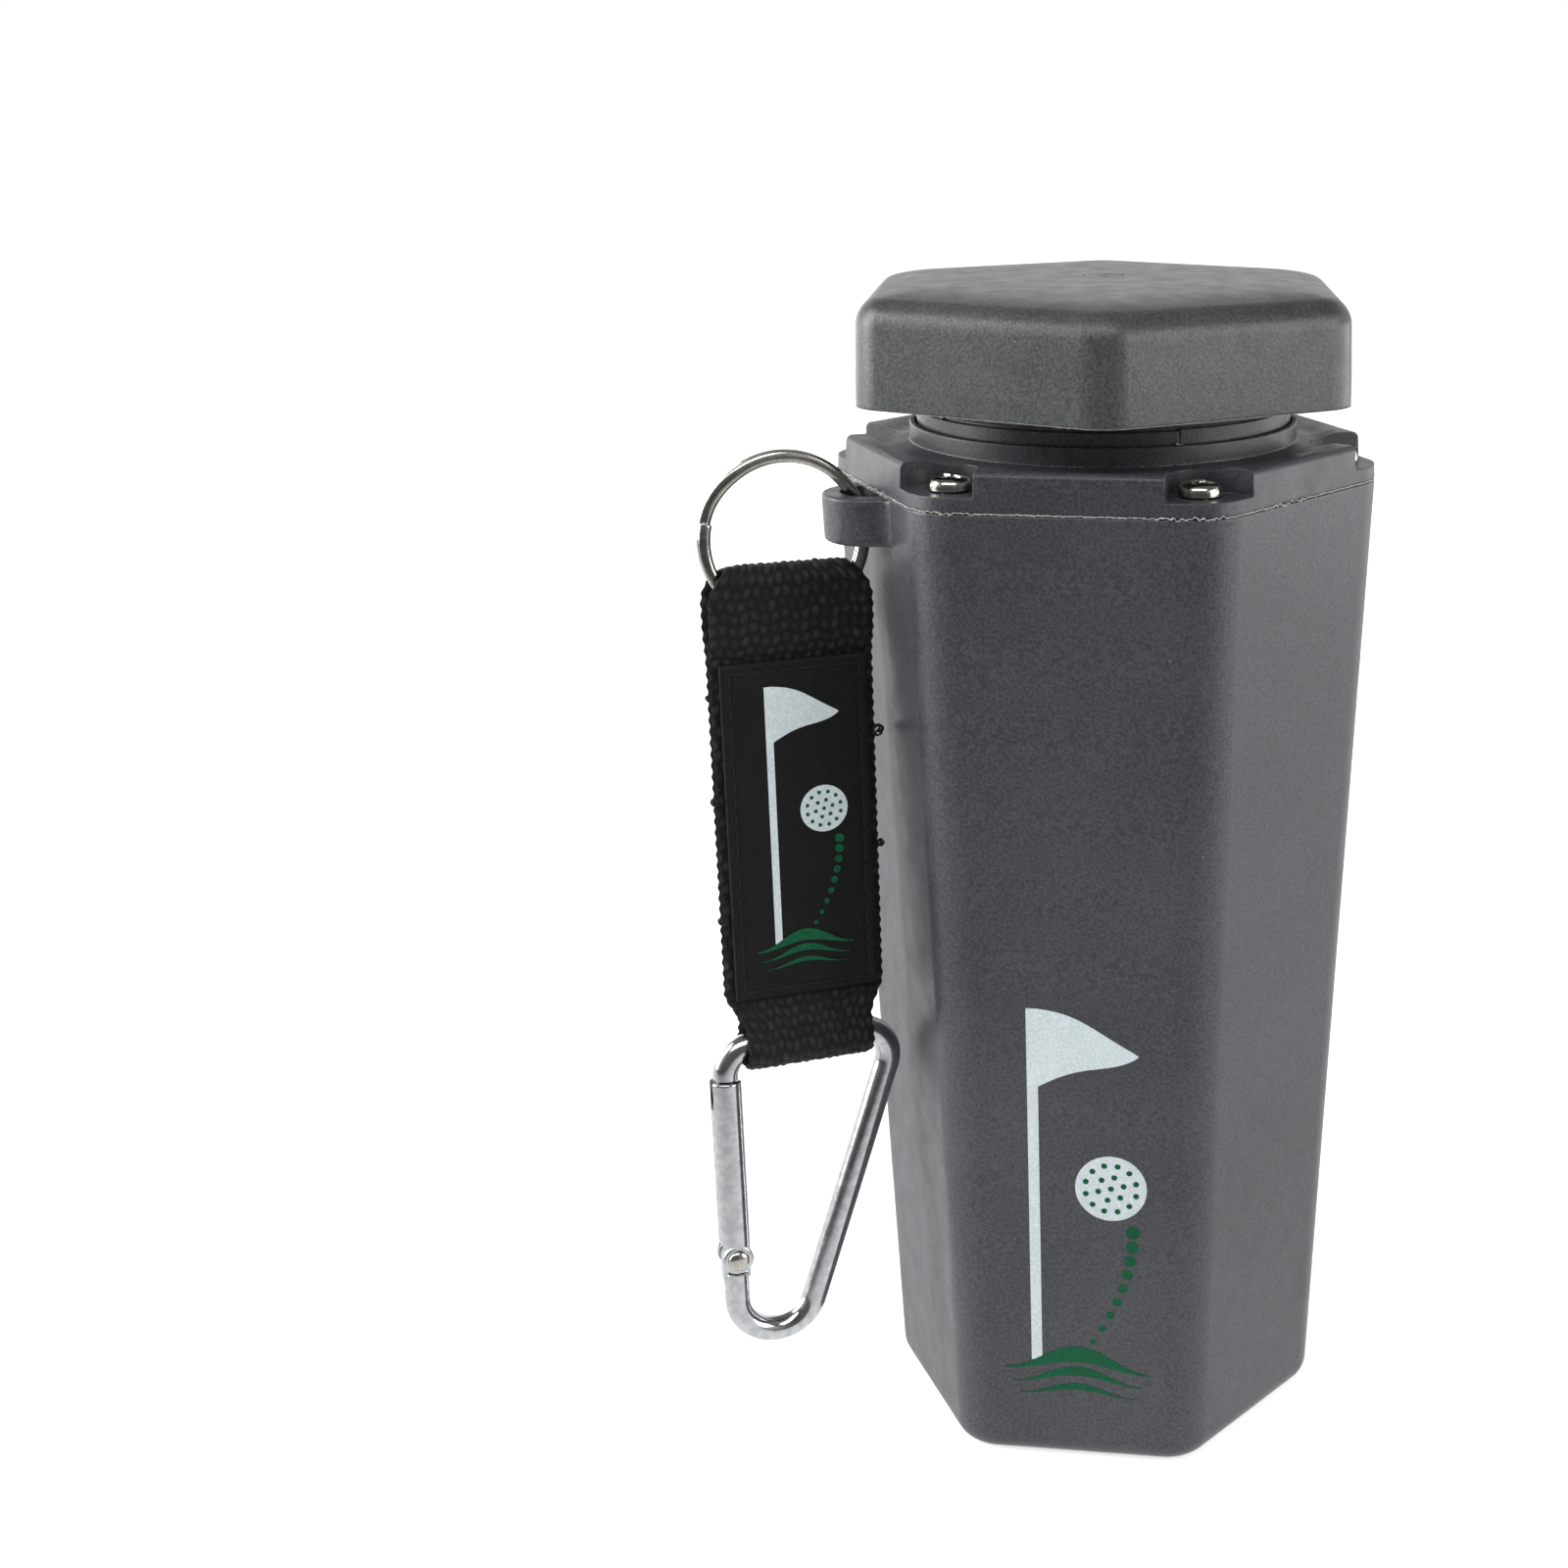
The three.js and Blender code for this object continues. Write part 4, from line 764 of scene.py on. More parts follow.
# Tumbled and polished aluminium of the hook: bright, with fine dents
ALUMINIUM = Finish("polished_aluminium", "dadcde", "c6c8cb", 0.15, 0.05, metallic=1.0, mottle=2.2,
                   grain=1.3, grain_height=0.007)
# Coarse polyester webbing: black yarn with a dry, fuzzy surface, and painted shade in the pits of its weave
POLYESTER = Woven("polyester_webbing", "2c2c2e", "1a1a1b", 0.7, 0.06, specular=0.35, mottle=2.5,
                  grain=0.3, grain_height=0.05, sheen=0.06, pit_shade="050505")
# Polyester satin of the label: black, tight weave, a faint sheen
SATIN = Finish("polyester_satin", "19191a", "111112", 0.66, 0.05, specular=0.2, mottle=5, grain=0.35,
               grain_height=0.02, sheen=0.04)
# Sewing thread, black polyester
THREAD = Finish("sewing_thread", "232324", "141415", 0.7, 0.05, specular=0.3, mottle=1, grain=0.2,
                grain_height=0.01, sheen=0.06)
# Pad-print ink, white: slightly glossy, thin at places
WHITE_INK = Finish("white_print_ink", "dde7ea", "cad6da", 0.42, 0.05, mottle=5, grain=0.4,
                   grain_height=0.004)
# Pad-print ink, green
GREEN_INK = Finish("green_print_ink", "00603c", "004f30", 0.45, 0.05, specular=0.25, mottle=5, grain=0.4,
                   grain_height=0.004)


# Cup


@dataclass
class Cup:
    """Tapered hexagonal cup with its strap lug, screw bosses and brush sockets."""

    height: float = 155.0
    flats_top: float = 74.0
    flats_base: float = 62.4
    corner_top: float = 9.0
    corner_base: float = 8.0
    wall: float = 2.5
    floor: float = 3.0
    fillet: float = 4.0
    rim_edge: float = 0.25
    lip: float = 1.2
    rebate: float = 1.7
    screw_circle: float = 35.58
    boss_radius: float = 4.2
    boss_length: float = 24.0
    pilot_radius: float = 1.85
    pilot_bottom: float = 138.3
    socket_radius: float = 3.2
    socket_height: float = 5.0
    brush_headings: tuple[int, ...] = (0, 120, 180, 300)
    socket_reach: float = 24.69
    eye_radius: float = 4.7
    eye_wall: float = 2.7
    eye_height: float = 7.0
    eye_drop: float = 0.3
    eye_fillet: float = 2.3
    eye_edge: float = 0.5
    eye_heading: float = 60.0
    eye_root: float = 0.7
    eye_back: float = 0.5
    flash_lift: float = 0.19
    flash_seed: int = 963
    print_height: float = 45.5

    @property
    def screw_places(self) -> Array:
        """Places of the six screws in x and y."""
        return self.screw_circle * np.column_stack([np.cos(SIXTHS), np.sin(SIXTHS)])

    def flats(self, z: ArrayLike) -> Array:
        """Distance across the flats at a height."""
        return self.flats_base + (self.flats_top - self.flats_base) * np.asarray(z, float) / self.height

    def corner(self, z: ArrayLike) -> Array:
        """Corner radius at a height."""
        return self.corner_base + (self.corner_top - self.corner_base) * np.asarray(z, float) / self.height

    def rings(self, rows: Array) -> Array:
        """Skin through rows of taper height, inward offset and height."""
        taper, offset, height = np.asarray(rows, float).T
        return hexagon_sheet(self.flats(taper) - 2 * offset, self.corner(taper) - offset, height)

    def skin(self) -> Array:
        """Closed skin: base, fillet, outer wall, rim, rebate, inner wall and floor.

        The base fillet is a quarter circle, offset f (1 - sin a) at height f (1 - cos a).
        """
        angle = np.linspace(0, TURN / 4, 11)
        sine, cosine = 1 - np.sin(angle), 1 - np.cos(angle)
        low, inner, top, edge = self.fillet, self.fillet / 2, self.height, self.rim_edge
        base = np.column_stack([np.full_like(angle, low), low * sine, low * cosine])
        rim = np.column_stack([np.full_like(angle, top), edge * cosine, top - edge * sine])
        floor = np.column_stack([
            np.full_like(angle, self.floor + inner), self.wall + inner * cosine, self.floor + inner * sine,
        ])
        steps = np.array([
            [top, self.lip, top],
            [top - self.rebate, self.lip, top - self.rebate],
            [top - self.rebate, self.wall, top - self.rebate],
        ])
        return capped(self.rings(np.concatenate([base, rim, steps, floor])))

    def lug(self) -> Piece:
        """Half-round lug: an arc that runs into the face by a fillet on each side, with a round eye.

        Its rims are quarter circles: at e (1 - cos a) from each end the outline lies e (1 - sin a)
        inwards along its own normals. It leans inwards going down, as the face does.
        """
        face = float(self.flats(self.height)) / 2
        outer = self.eye_radius + self.eye_wall
        foot = math.sqrt((outer + self.eye_fillet) ** 2 - self.eye_fillet ** 2)
        meet = math.degrees(math.atan2(foot, self.eye_fillet))
        root = face - self.wall * self.eye_root
        outline = distinct(np.concatenate([
            [[root, -foot]],
            arc(face + self.eye_fillet, -foot, self.eye_fillet, 180, 180 - meet),
            arc(face, 0, outer, -meet, meet, 40),
            arc(face + self.eye_fillet, foot, self.eye_fillet, 180 + meet, 180),
            [[root, foot]],
        ]))
        along = np.roll(outline, -1, axis=0) - np.roll(outline, 1, axis=0)
        normal = np.column_stack([along[:, 1], -along[:, 0]]) / np.linalg.norm(along, axis=1)[:, None]
        angle = np.linspace(0, TURN / 4, 6)
        inward = self.eye_edge * (1 - np.sin(angle))
        half = self.eye_height / 2
        below = self.eye_edge * (1 - np.cos(angle)) - half
        rows = outline - normal * np.concatenate([inward, inward[::-1]])[:, None, None]
        heights = np.broadcast_to(np.concatenate([below, -below[::-1]])[:, None, None], (*rows.shape[:2], 1))
        sheet = np.concatenate([rows, heights], axis=2)
        sheet = np.concatenate([sheet, sheet[:, :1]], axis=1)
        ends = [np.broadcast_to([face, 0, z], sheet[:1].shape) for z in (-half, half)]
        lug = mesh_piece("lug", [np.concatenate([ends[0], sheet, ends[1]])], weighted=False)
        eye = np.concatenate([
            [[root + self.eye_back, -self.eye_radius]],
            arc(face, 0, self.eye_radius, -90, 90, 32),
            [[root + self.eye_back, self.eye_radius]],
        ])
        carve(lug, [tool_solid(prism_sheet(eye, -half - OVERRUN, half + OVERRUN))], Carve.CUT)
        drop = self.eye_drop + half
        lean = (self.flats_top - self.flats_base) / 2 / self.height

        def place(points: Array) -> Array:
            """Points leaned with the face and brought under the seam."""
            down = points[:, 2] - drop
            leaned = np.column_stack([points[:, 0] + lean * down, points[:, 1], self.height + down])
            return towards(leaned, self.eye_heading)

        return moved(lug, place)

    def build(self) -> Piece:
        """Joins the skin, lug, bosses and sockets and drills the screw holes."""
        top = self.height - self.rebate
        boss, pilot = circle(self.boss_radius), circle(self.pilot_radius, 24)
        cavity = capped(self.rings(np.array([[0, self.wall / 2, 0], [top, self.wall / 2, top]])))
        socket = circle(self.socket_radius, x=self.socket_reach)
        inside, *others = [
            tool_solid(prism_sheet(place + boss, top - self.boss_length, top)) for place in self.screw_places
        ]
        others += [
            tool_solid(towards(prism_sheet(socket, self.floor / 2, self.floor + self.socket_height), h))
            for h in self.brush_headings
        ]
        carve(inside, others, Carve.JOIN)
        carve(inside, [tool_solid(cavity)], Carve.KEEP)
        cup = mesh_piece("cup", [self.skin()], weighted=False)
        carve(cup, [inside, self.lug()], Carve.JOIN)
        carve(cup, [
            tool_solid(prism_sheet(place + pilot, self.pilot_bottom, top + OVERRUN))
            for place in self.screw_places
        ], Carve.CUT)
        shade(cup, 32)
        return dress(cup, CUP_PLASTIC.material(), "washer", Slot.PLASTIC, ("body_shell",))

    def parting_flash(self) -> Piece:
        """Flash along the seam between the cup and the collar."""
        edge = hexagon_sheet([self.flats_top], [self.corner_top], [0.0], 60)[0, :, :2]
        return Flash("parting_flash", "washer", self.height + self.flash_lift, base=0.07, ragged=0.48,
                     rise=0.15, thickness=0.2, seed=self.flash_seed).build(edge)

    def on_front(self, x: Array, z: Array, height: float) -> Array:
        """Points of the print on the front face, at a height above it."""
        up = z + self.print_height
        return np.stack([x, -self.flats(up) / 2 - height, up], -1)


@dataclass
class Flash:
    """Thin fin of flash along an edge where a mould's halves met: ragged, pale and uneven."""

    name: str
    body: str
    height: float
    base: float = 0.05
    ragged: float = 0.2
    rise: float = 0.06
    thickness: float = 0.1
    inset: float = 0.3
    seed: int = 3
    step: float = 0.2

    def build(self, outline: Array) -> Piece:
        """Makes the fin along a closed outline in X and Y.

        Its reach is a base width plus the positive part of a ripple along the line, times patches
        where the flash is heavier. Its height rides up and down by another ripple, most where it is
        heavy. It is trimmed where it would pass the object's own box.

        Args:
            outline: points of the edge, the last one the same as the first.

        Returns:
            The fin.
        """
        loop = run_length(outline)[-1]
        fine = np.linspace(0, loop, int(loop / self.step))
        line = resampled(outline, fine)
        out = line / np.linalg.norm(line, axis=1, keepdims=True)
        waves = ripple(fine, [loop / 57, loop / 131, loop / 211, loop / 307], self.seed)
        patches = ripple(fine, [loop / 4, loop / 9, loop / 14], self.seed + 5)
        heavy = np.clip(0.25 + 0.75 * patches, 0.05, 1.4)
        reach = self.base + self.ragged * np.clip(waves, 0, 1.5) * heavy
        rise = self.rise * ripple(fine, [loop / 61, loop / 173, loop / 251], self.seed + 2) * (0.3 + heavy)
        middle, half = self.height + rise, self.thickness / 2
        box = np.array(CAD_BOUNDS) / MM
        inner, tip = line - self.inset * out, np.clip(line + reach[:, None] * out, box[0, :2], box[1, :2])
        rows = [(inner, -half), (tip, -half * 0.6), (tip, half * 0.6), (inner, half), (inner, -half)]
        sheet = np.stack([np.column_stack([flat, middle + lift]) for flat, lift in rows])
        piece = mesh_piece(self.name, [sheet], sharp=50, weighted=False)
        return dress(piece, FLASH.material(), self.body, Slot.PLASTIC)


# Print on the front face and on the label


@dataclass
class PrintedMotif:
    """Generic golf motif: a flag on its pin, a dimpled ball, mounds and a dotted flight path."""

    pin_x: float = -6.4
    pin_low: float = -27.0
    pin_high: float = 34.5
    pin_width: float = 1.7
    flag_length: float = 15.5
    flag_height: float = 13.0
    ball_x: float = 5.6
    ball_z: float = 4.6
    ball_radius: float = 5.6
    dimple: float = 0.46
    mound_half: float = 11.6
    dots: int = 9
    wave: float = 0.7
    dimple_turn: float = 0.26
    dimple_rings: tuple[tuple[int, float], ...] = ((6, 2.05), (12, 4.05))
    # Foot, crest and thickness of each contour band
    bands: tuple[tuple[float, ...], ...] = ((-28.5, 4.4, 2.6), (-31.0, 3.2, 1.5), (-33.2, 2.2, 1.0))
    path_low: float = -23.0
    path_gap: float = 2.0
    path_lead: float = 3.4
    path_swing: float = 6.4
    ink: float = 0.04

    def white(self) -> list[Array]:
        """Grids of the pin, the waving flag and the ball, in the plane of x and z.

        The flag's half height falls to nothing along it while its middle line waves by a sine.
        """
        u = np.linspace(0, 1, 25)
        half = self.flag_height / 2 * (1 - u) ** 0.8
        middle = self.pin_high - self.flag_height / 2 + self.wave * np.sin(u * math.pi * 1.6)
        x = self.pin_x + self.pin_width / 2 + u * self.flag_length
        flag = np.stack([np.column_stack([x, middle - half]), np.column_stack([x, middle + half])])
        left, right = self.pin_x - self.pin_width / 2, self.pin_x + self.pin_width / 2
        pin = np.array([
            [[left, self.pin_low], [right, self.pin_low]],
            [[left, self.pin_high], [right, self.pin_high]],
        ])
        return [flag, pin, self.disc(self.ball_x, self.ball_z, self.ball_radius)]

    def dimples(self) -> list[Array]:
        """Grids of the ball's dimples: one, six and twelve of them on circles round its middle."""
        places = [(0.0, 0.0)]
        for count, reach in self.dimple_rings:
            angle = np.arange(count) * TURN / count + self.dimple_turn
            places += list(zip(reach * np.cos(angle), reach * np.sin(angle)))
        return [self.disc(self.ball_x + x, self.ball_z + z, self.dimple) for x, z in places]

    def green(self) -> list[Array]:
        """Grids of the mound's three contour bands and of the growing dots of the flight path.

        A band's crest is c cos^2(pi x / 2 w) above its foot, and it thins towards its ends.
        """
        bands = []
        x = np.linspace(-self.mound_half, self.mound_half, 41)
        share = np.cos(math.pi * x / (2 * self.mound_half)) ** 2
        for level, (foot, crest, thick) in enumerate(self.bands):
            reach = 1 - 0.1 * level
            low = np.column_stack([x * reach, foot + crest * share - thick * (0.12 + share)])
            high = np.column_stack([x * reach, foot + crest * share])
            bands.append(np.stack([low, high]))
        t = np.linspace(0, 1, self.dots)
        rise = self.ball_z - self.ball_radius - self.path_gap - self.path_low
        path_x = self.ball_x + self.path_lead - self.path_swing * (1 - t) ** 2
        path_z = self.path_low + rise * t
        dots = [self.disc(a, b, 0.5 + 0.6 * c) for a, b, c in zip(path_x, path_z, t)]
        return bands + dots

    @staticmethod
    def disc(x: float, z: float, radius: float) -> Array:
        """Disc as a grid: (x + r cos a, z + r sin a) for r from zero to the radius."""
        angle = np.linspace(0, TURN, 33)
        r = np.array([0, radius])[:, None]
        return np.stack([x + r * np.cos(angle), z + r * np.sin(angle)], -1)

    def pieces(self, prefix: str, body: str, slot: Slot, place: Place, scale: float = 1.0) -> None:
        """Lays both inks on a surface.

        Args:
            prefix: start of the pieces' names.
            body: the body that carries them.
            slot: the record's slot.
            place: function from x, z and a height above the surface to points in space.
            scale: size of the motif.
        """
        inks = (
            (WHITE_INK, self.white(), "white", 0.05), (GREEN_INK, self.green(), "green", 0.07),
            (GREEN_INK, self.dimples(), "dimples", 0.08),
        )
        for finish, grids, word, height in inks:
            sheets = []
            for grid in grids:
                x, z = grid[..., 0] * scale, grid[..., 1] * scale
                low, high = place(x, z, height - self.ink), place(x, z, height)
                if np.ptp(x[0]) == 0 and np.ptp(z[0]) == 0:
                    sheets.append(np.stack([low[0], low[1], high[1], high[0]]))
                    continue
                sheets.append(np.concatenate([low[:1], high, low[-1:], low[::-1]]))
                sheets.extend(np.stack([low[:, k], high[:, k]]) for k in (0, -1))
            piece = mesh_piece(f"{prefix}_{word}", sheets, sharp=40, weighted=False)
            dress(piece, finish.material(), body, slot)


# Collar


@dataclass
class Collar:
    """Screwed collar: dished plate with six pockets, raised ring, bayonet neck and guide rails."""

    cup: Cup
    base: float = 155.3
    height: float = 5.7
    skirt: float = 2.3
    plate: float = 2.0
    edge: float = 0.6
    draft: float = 0.3
    dish_depth: float = 0.9
    dish_rim: float = 1.5
    pocket_radius: float = 4.4
    pocket_wall: float = 1.5
    pocket_floor: float = 2.0
    bore: float = 25.9
    neck_wall: float = 2.1
    neck_height: float = 18.7
    foot_step: float = 0.3
    foot_height: float = 10.1
    foot_gap: float = 0.5
    foot_groove: float = 0.25
    core_heading: float = 330.0
    core_shift: float = 0.06
    core_rise: float = 0.2
    core_seam: float = 0.4
    core_nubs: tuple[tuple[float, ...], ...] = (
        (329.0, 2.0, 0.5, 0.3, 0.06), (330.6, 0.8, 0.4, 0.1, 0.25), (313.0, 0.5, 0.25, 0.2, -0.05),
        (338.5, 0.4, 0.25, 0.2, -0.08),
    )
    ring_height: float = 2.5
    ring_wall: float = 0.75
    ring_groove: float = 0.35
    ring_groove_depth: float = 1.8
    flange_reach: float = 1.4
    flange_thickness: float = 2.8
    entry_heading: float = 43.0
    entry_span: float = 26.0
    lug_span: float = 22.0
    lug_thickness: float = 2.1
    cap_turn: float = 37.75
    stop_span: float = 3.5
    stop_slack: float = 1.0
    running_gap: float = 0.4
    channel_width: float = 7.6
    rib: float = 1.8
    rail_back: float = 1.6
    rail_depth: float = 2.6
    floor_cut: float = 0.1
    rail_end: float = 14.0
    socket_radius: float = 3.2
    socket_drop: float = 5.0
    socket_reach: float = 29.44
    rail_headings: tuple[int, ...] = (60, 240)
    edge_run: float = 2.0
    nub_root: float = 0.1
    rim_flash_drop: float = 0.1
    ring_flash_drop: float = 0.24

    @property
    def top(self) -> float:
        """Height of the plate's top."""
        return self.base + self.height

    @property
    def neck(self) -> float:
        """Outer radius of the neck."""
        return self.bore + self.neck_wall

    @property
    def crest(self) -> float:
        """Height of the raised ring's crest."""
        return self.top + self.ring_height

    @property
    def neck_top(self) -> float:
        """Height of the neck's rim."""
        return self.base + self.neck_height

    def plate_solid(self) -> Piece:
        """Hexagonal plate with a soft top edge, hollow below, dished, pocketed and bored."""
        rows = eased([
            [0.0, self.base], [self.draft, self.top - self.edge], [self.draft + self.edge, self.top],
            [self.draft + self.edge + self.edge_run, self.top],
        ], 0.3)
        offset, z = rows.T
        flats, corner = self.cup.flats_top, self.cup.corner_top
        outside = tool_solid(capped(hexagon_sheet(flats - 2 * offset, corner - offset, z)))
        low, high = self.base - OVERRUN, self.top - self.plate - self.dish_depth
        under = np.array([self.skirt, self.skirt + self.draft])
        hollow = tool_solid(capped(hexagon_sheet(flats - 2 * under, corner - under, [low, high])))
        wall = circle(self.pocket_radius + self.pocket_wall)
        carve(hollow, [
            tool_solid(prism_sheet(place + wall, self.base - 2 * OVERRUN, self.top))
            for place in self.cup.screw_places
        ], Carve.CUT)
        return carve(outside, [hollow, *self.cutters()], Carve.CUT)

    def cutters(self) -> list[Piece]:
        """Solids that cut the dish, the neck's bore and the six screw pockets."""
        ring = self.ring_profile()[1, 0]
        outer = self.cup.flats_top / 2 - self.dish_rim
        middle = (ring + outer) / 2
        dish = eased([
            [ring, self.top + OVERRUN], [ring, self.top - self.dish_depth / 3],
            [middle, self.top - self.dish_depth], [outer, self.top], [outer, self.top + OVERRUN],
        ], [0.2, 1.2, 0.0])
        dish = np.concatenate([dish, dish[:1]])
        tools = [
            tool_solid(turned_sheet(dish)),
            tool_solid(prism_sheet(circle(self.bore, 144), self.base - OVERRUN, self.neck_top + OVERRUN)),
        ]
        back = arc(0, 0, self.pocket_radius, 120, 240, 24)
        run = self.cup.flats_top / 2
        ends = back[[-1, 0]] + run * np.column_stack([[HEX_COS, HEX_COS], [-0.5, 0.5]])
        outline = np.concatenate([back, ends])
        pocket = prism_sheet(outline, self.base + self.pocket_floor, self.top + OVERRUN)
        pocket = pocket + [self.cup.screw_circle, 0, 0]
        return tools + [tool_solid(spun(pocket, angle)) for angle in SIXTHS]

    def ring_profile(self) -> Array:
        """Section of the raised ring and its narrow groove, as radius and height."""
        inner = self.neck + self.foot_step + self.ring_groove
        outer = inner + self.ring_wall
        foot = self.top - self.plate
        groove = self.crest - self.ring_groove_depth
        return np.array([
            [self.neck, foot], [outer, foot], [outer, self.crest], [inner, self.crest], [inner, groove],
            [self.neck, groove],
        ])

    def neck_solid(self) -> Piece:
        """Neck, raised ring, flange with its entry gaps, stops, and the seam of the two side cores.

        One core stood a little further out and higher, so its half of the foot does too. A thin
        line is left between the halves.
        """
        foot = self.neck + self.foot_step
        step = self.base + self.foot_height
        tube = eased([
            [self.bore, self.base + 4], [self.bore, self.base], [foot, self.base], [foot, step],
            [self.neck - self.foot_groove, step], [self.neck - self.foot_groove, step + self.foot_gap],
            [self.neck, step + self.foot_gap], [self.neck, self.neck_top], [self.bore, self.neck_top],
            [self.bore, self.base + 4],
        ], [0.0, 0.0, 0.12, 0.0, 0.0, 0.06, 0.25, 0.25])
        solid = tool_solid(turned_sheet(tube))
        ring = self.ring_profile()
        ring = eased(np.concatenate([ring, ring[:1]]), [0.0, 0.3, 0.2, 0.0, 0.0])
        outer = self.neck + self.flange_reach
        flange_low = self.neck_top - self.flange_thickness
        inside = self.neck - self.neck_wall / 2
        flange = eased([
            [inside, flange_low + 1], [inside, flange_low], [outer, flange_low], [outer, self.neck_top],
            [inside, self.neck_top], [inside, flange_low + 1],
        ], [0.0, 0.2, 0.35, 0.0])
        flange_solid = tool_solid(turned_sheet(flange))
        gaps = [
            self.sector(self.neck, outer + OVERRUN, side + self.entry_heading - self.entry_span / 2,
                        self.entry_span, flange_low - OVERRUN, self.neck_top + OVERRUN)
            for side in (0, 180)
        ]
        carve(flange_solid, gaps, Carve.CUT)
        stop_low = flange_low - self.lug_thickness - self.running_gap
        locked = self.entry_heading + self.cap_turn + self.lug_span / 2 + self.stop_slack
        opened = self.entry_heading - self.lug_span / 2 - self.stop_slack - self.stop_span
        stops = [
            self.sector(inside, outer, side + at, self.stop_span, stop_low,
                        flange_low + self.flange_thickness / 2)
            for side in (0, 180) for at in (locked, opened)
        ]
        half = self.sector(inside, foot + self.core_shift, self.core_heading - 180, 180,
                           self.top - self.plate / 2, step + self.core_rise, 72)
        carve(solid, [tool_solid(turned_sheet(ring)), flange_solid, *stops, half], Carve.JOIN)
        seams = [
            self.sector(foot - self.nub_root, foot + self.ring_groove / 2,
                        side + self.core_heading - self.core_seam / 2, self.core_seam,
                        self.crest - self.ring_groove_depth, step + self.foot_gap)
            for side in (0, -180)
        ]
        return carve(solid, seams, Carve.CUT)

    def seam_nubs(self) -> None:
        """Nubs of flash in the ring's groove, the largest at the side cores' seam."""
        foot = self.neck + self.foot_step
        nubs = [
            self.sector(foot - self.nub_root, foot + reach, heading, span, self.crest - drop,
                        self.crest + rise)
            for heading, span, reach, drop, rise in self.core_nubs
        ]
        piece = united("seam_nubs", nubs)
        shade(piece, 60, False)
        dress(piece, FLASH.material(), "washer", Slot.PLASTIC)

    def rim_flash(self) -> None:
        """Flash round the flange's upper edge, between its two entry gaps, and round the ring."""
        radius = self.neck + self.flange_reach
        angle = np.linspace(0, TURN, 721)
        heading = (-90 - np.degrees(angle)) % 180
        gap = np.abs(heading - self.entry_heading) < self.entry_span / 2
        reach = np.where(gap, self.neck, radius)
        ring = np.full_like(angle, self.ring_profile()[1, 0])
        for name, edge, height, seed in (
            ("rim_flash", reach, self.neck_top - self.rim_flash_drop, 12),
            ("ring_flash", ring, self.top - self.ring_flash_drop, 16),
        ):
            outline = np.column_stack([edge * np.cos(angle), edge * np.sin(angle)])
            Flash(name, "washer", height, base=0.02, ragged=0.14, rise=0.05, thickness=0.08, inset=0.25,
                  seed=seed).build(outline)

    @staticmethod
    def sector(inner: float, outer: float, heading: float, span: float,
               low: float, high: float, steps: int = 16) -> Piece:
        """Block of a ring that starts at a heading and spans some degrees."""
        start, end = heading_turn(heading + span), heading_turn(heading)
        return tool_solid(sector_sheet(inner, outer, low, high, start, end, steps))

    def rail(self, heading: float, channel: bool) -> Piece:
        """One guide rail's block, or the channel that is cut out of it."""
        floor = self.bore + self.floor_cut
        half = self.channel_width / 2
        if channel:
            outline = strip(floor - self.rail_depth - OVERRUN, floor, half)
            low, high = self.rail_end - OVERRUN, self.neck_top + OVERRUN
        else:
            outline = strip(floor - self.rail_depth, floor + self.rail_back, half + self.rib)
            low, high = self.rail_end, self.neck_top
        return tool_solid(towards(prism_sheet(outline, low, high), heading))

    def build(self) -> Piece:
        """Joins plate, neck, rails and sockets and cuts the two channels."""
        collar = self.plate_solid()
        collar.name = "collar_moulding"
        socket = circle(self.socket_radius, x=self.socket_reach)
        sockets = [
            tool_solid(towards(prism_sheet(socket, self.base - self.socket_drop, self.top - self.plate), h))
            for h in self.cup.brush_headings
        ]
        rails = [self.rail(heading, False) for heading in self.rail_headings]
        carve(collar, [self.neck_solid(), *sockets, *rails], Carve.JOIN)
        carve(collar, [self.rail(heading, True) for heading in self.rail_headings], Carve.CUT)
        shade(collar, 30)
        # The collar's finish carries painted shade: darker tones than the cup's
        return dress(collar, COLLAR_PLASTIC_PAINTED_SHADE.material(), "washer", Slot.PLASTIC, ("collar",))


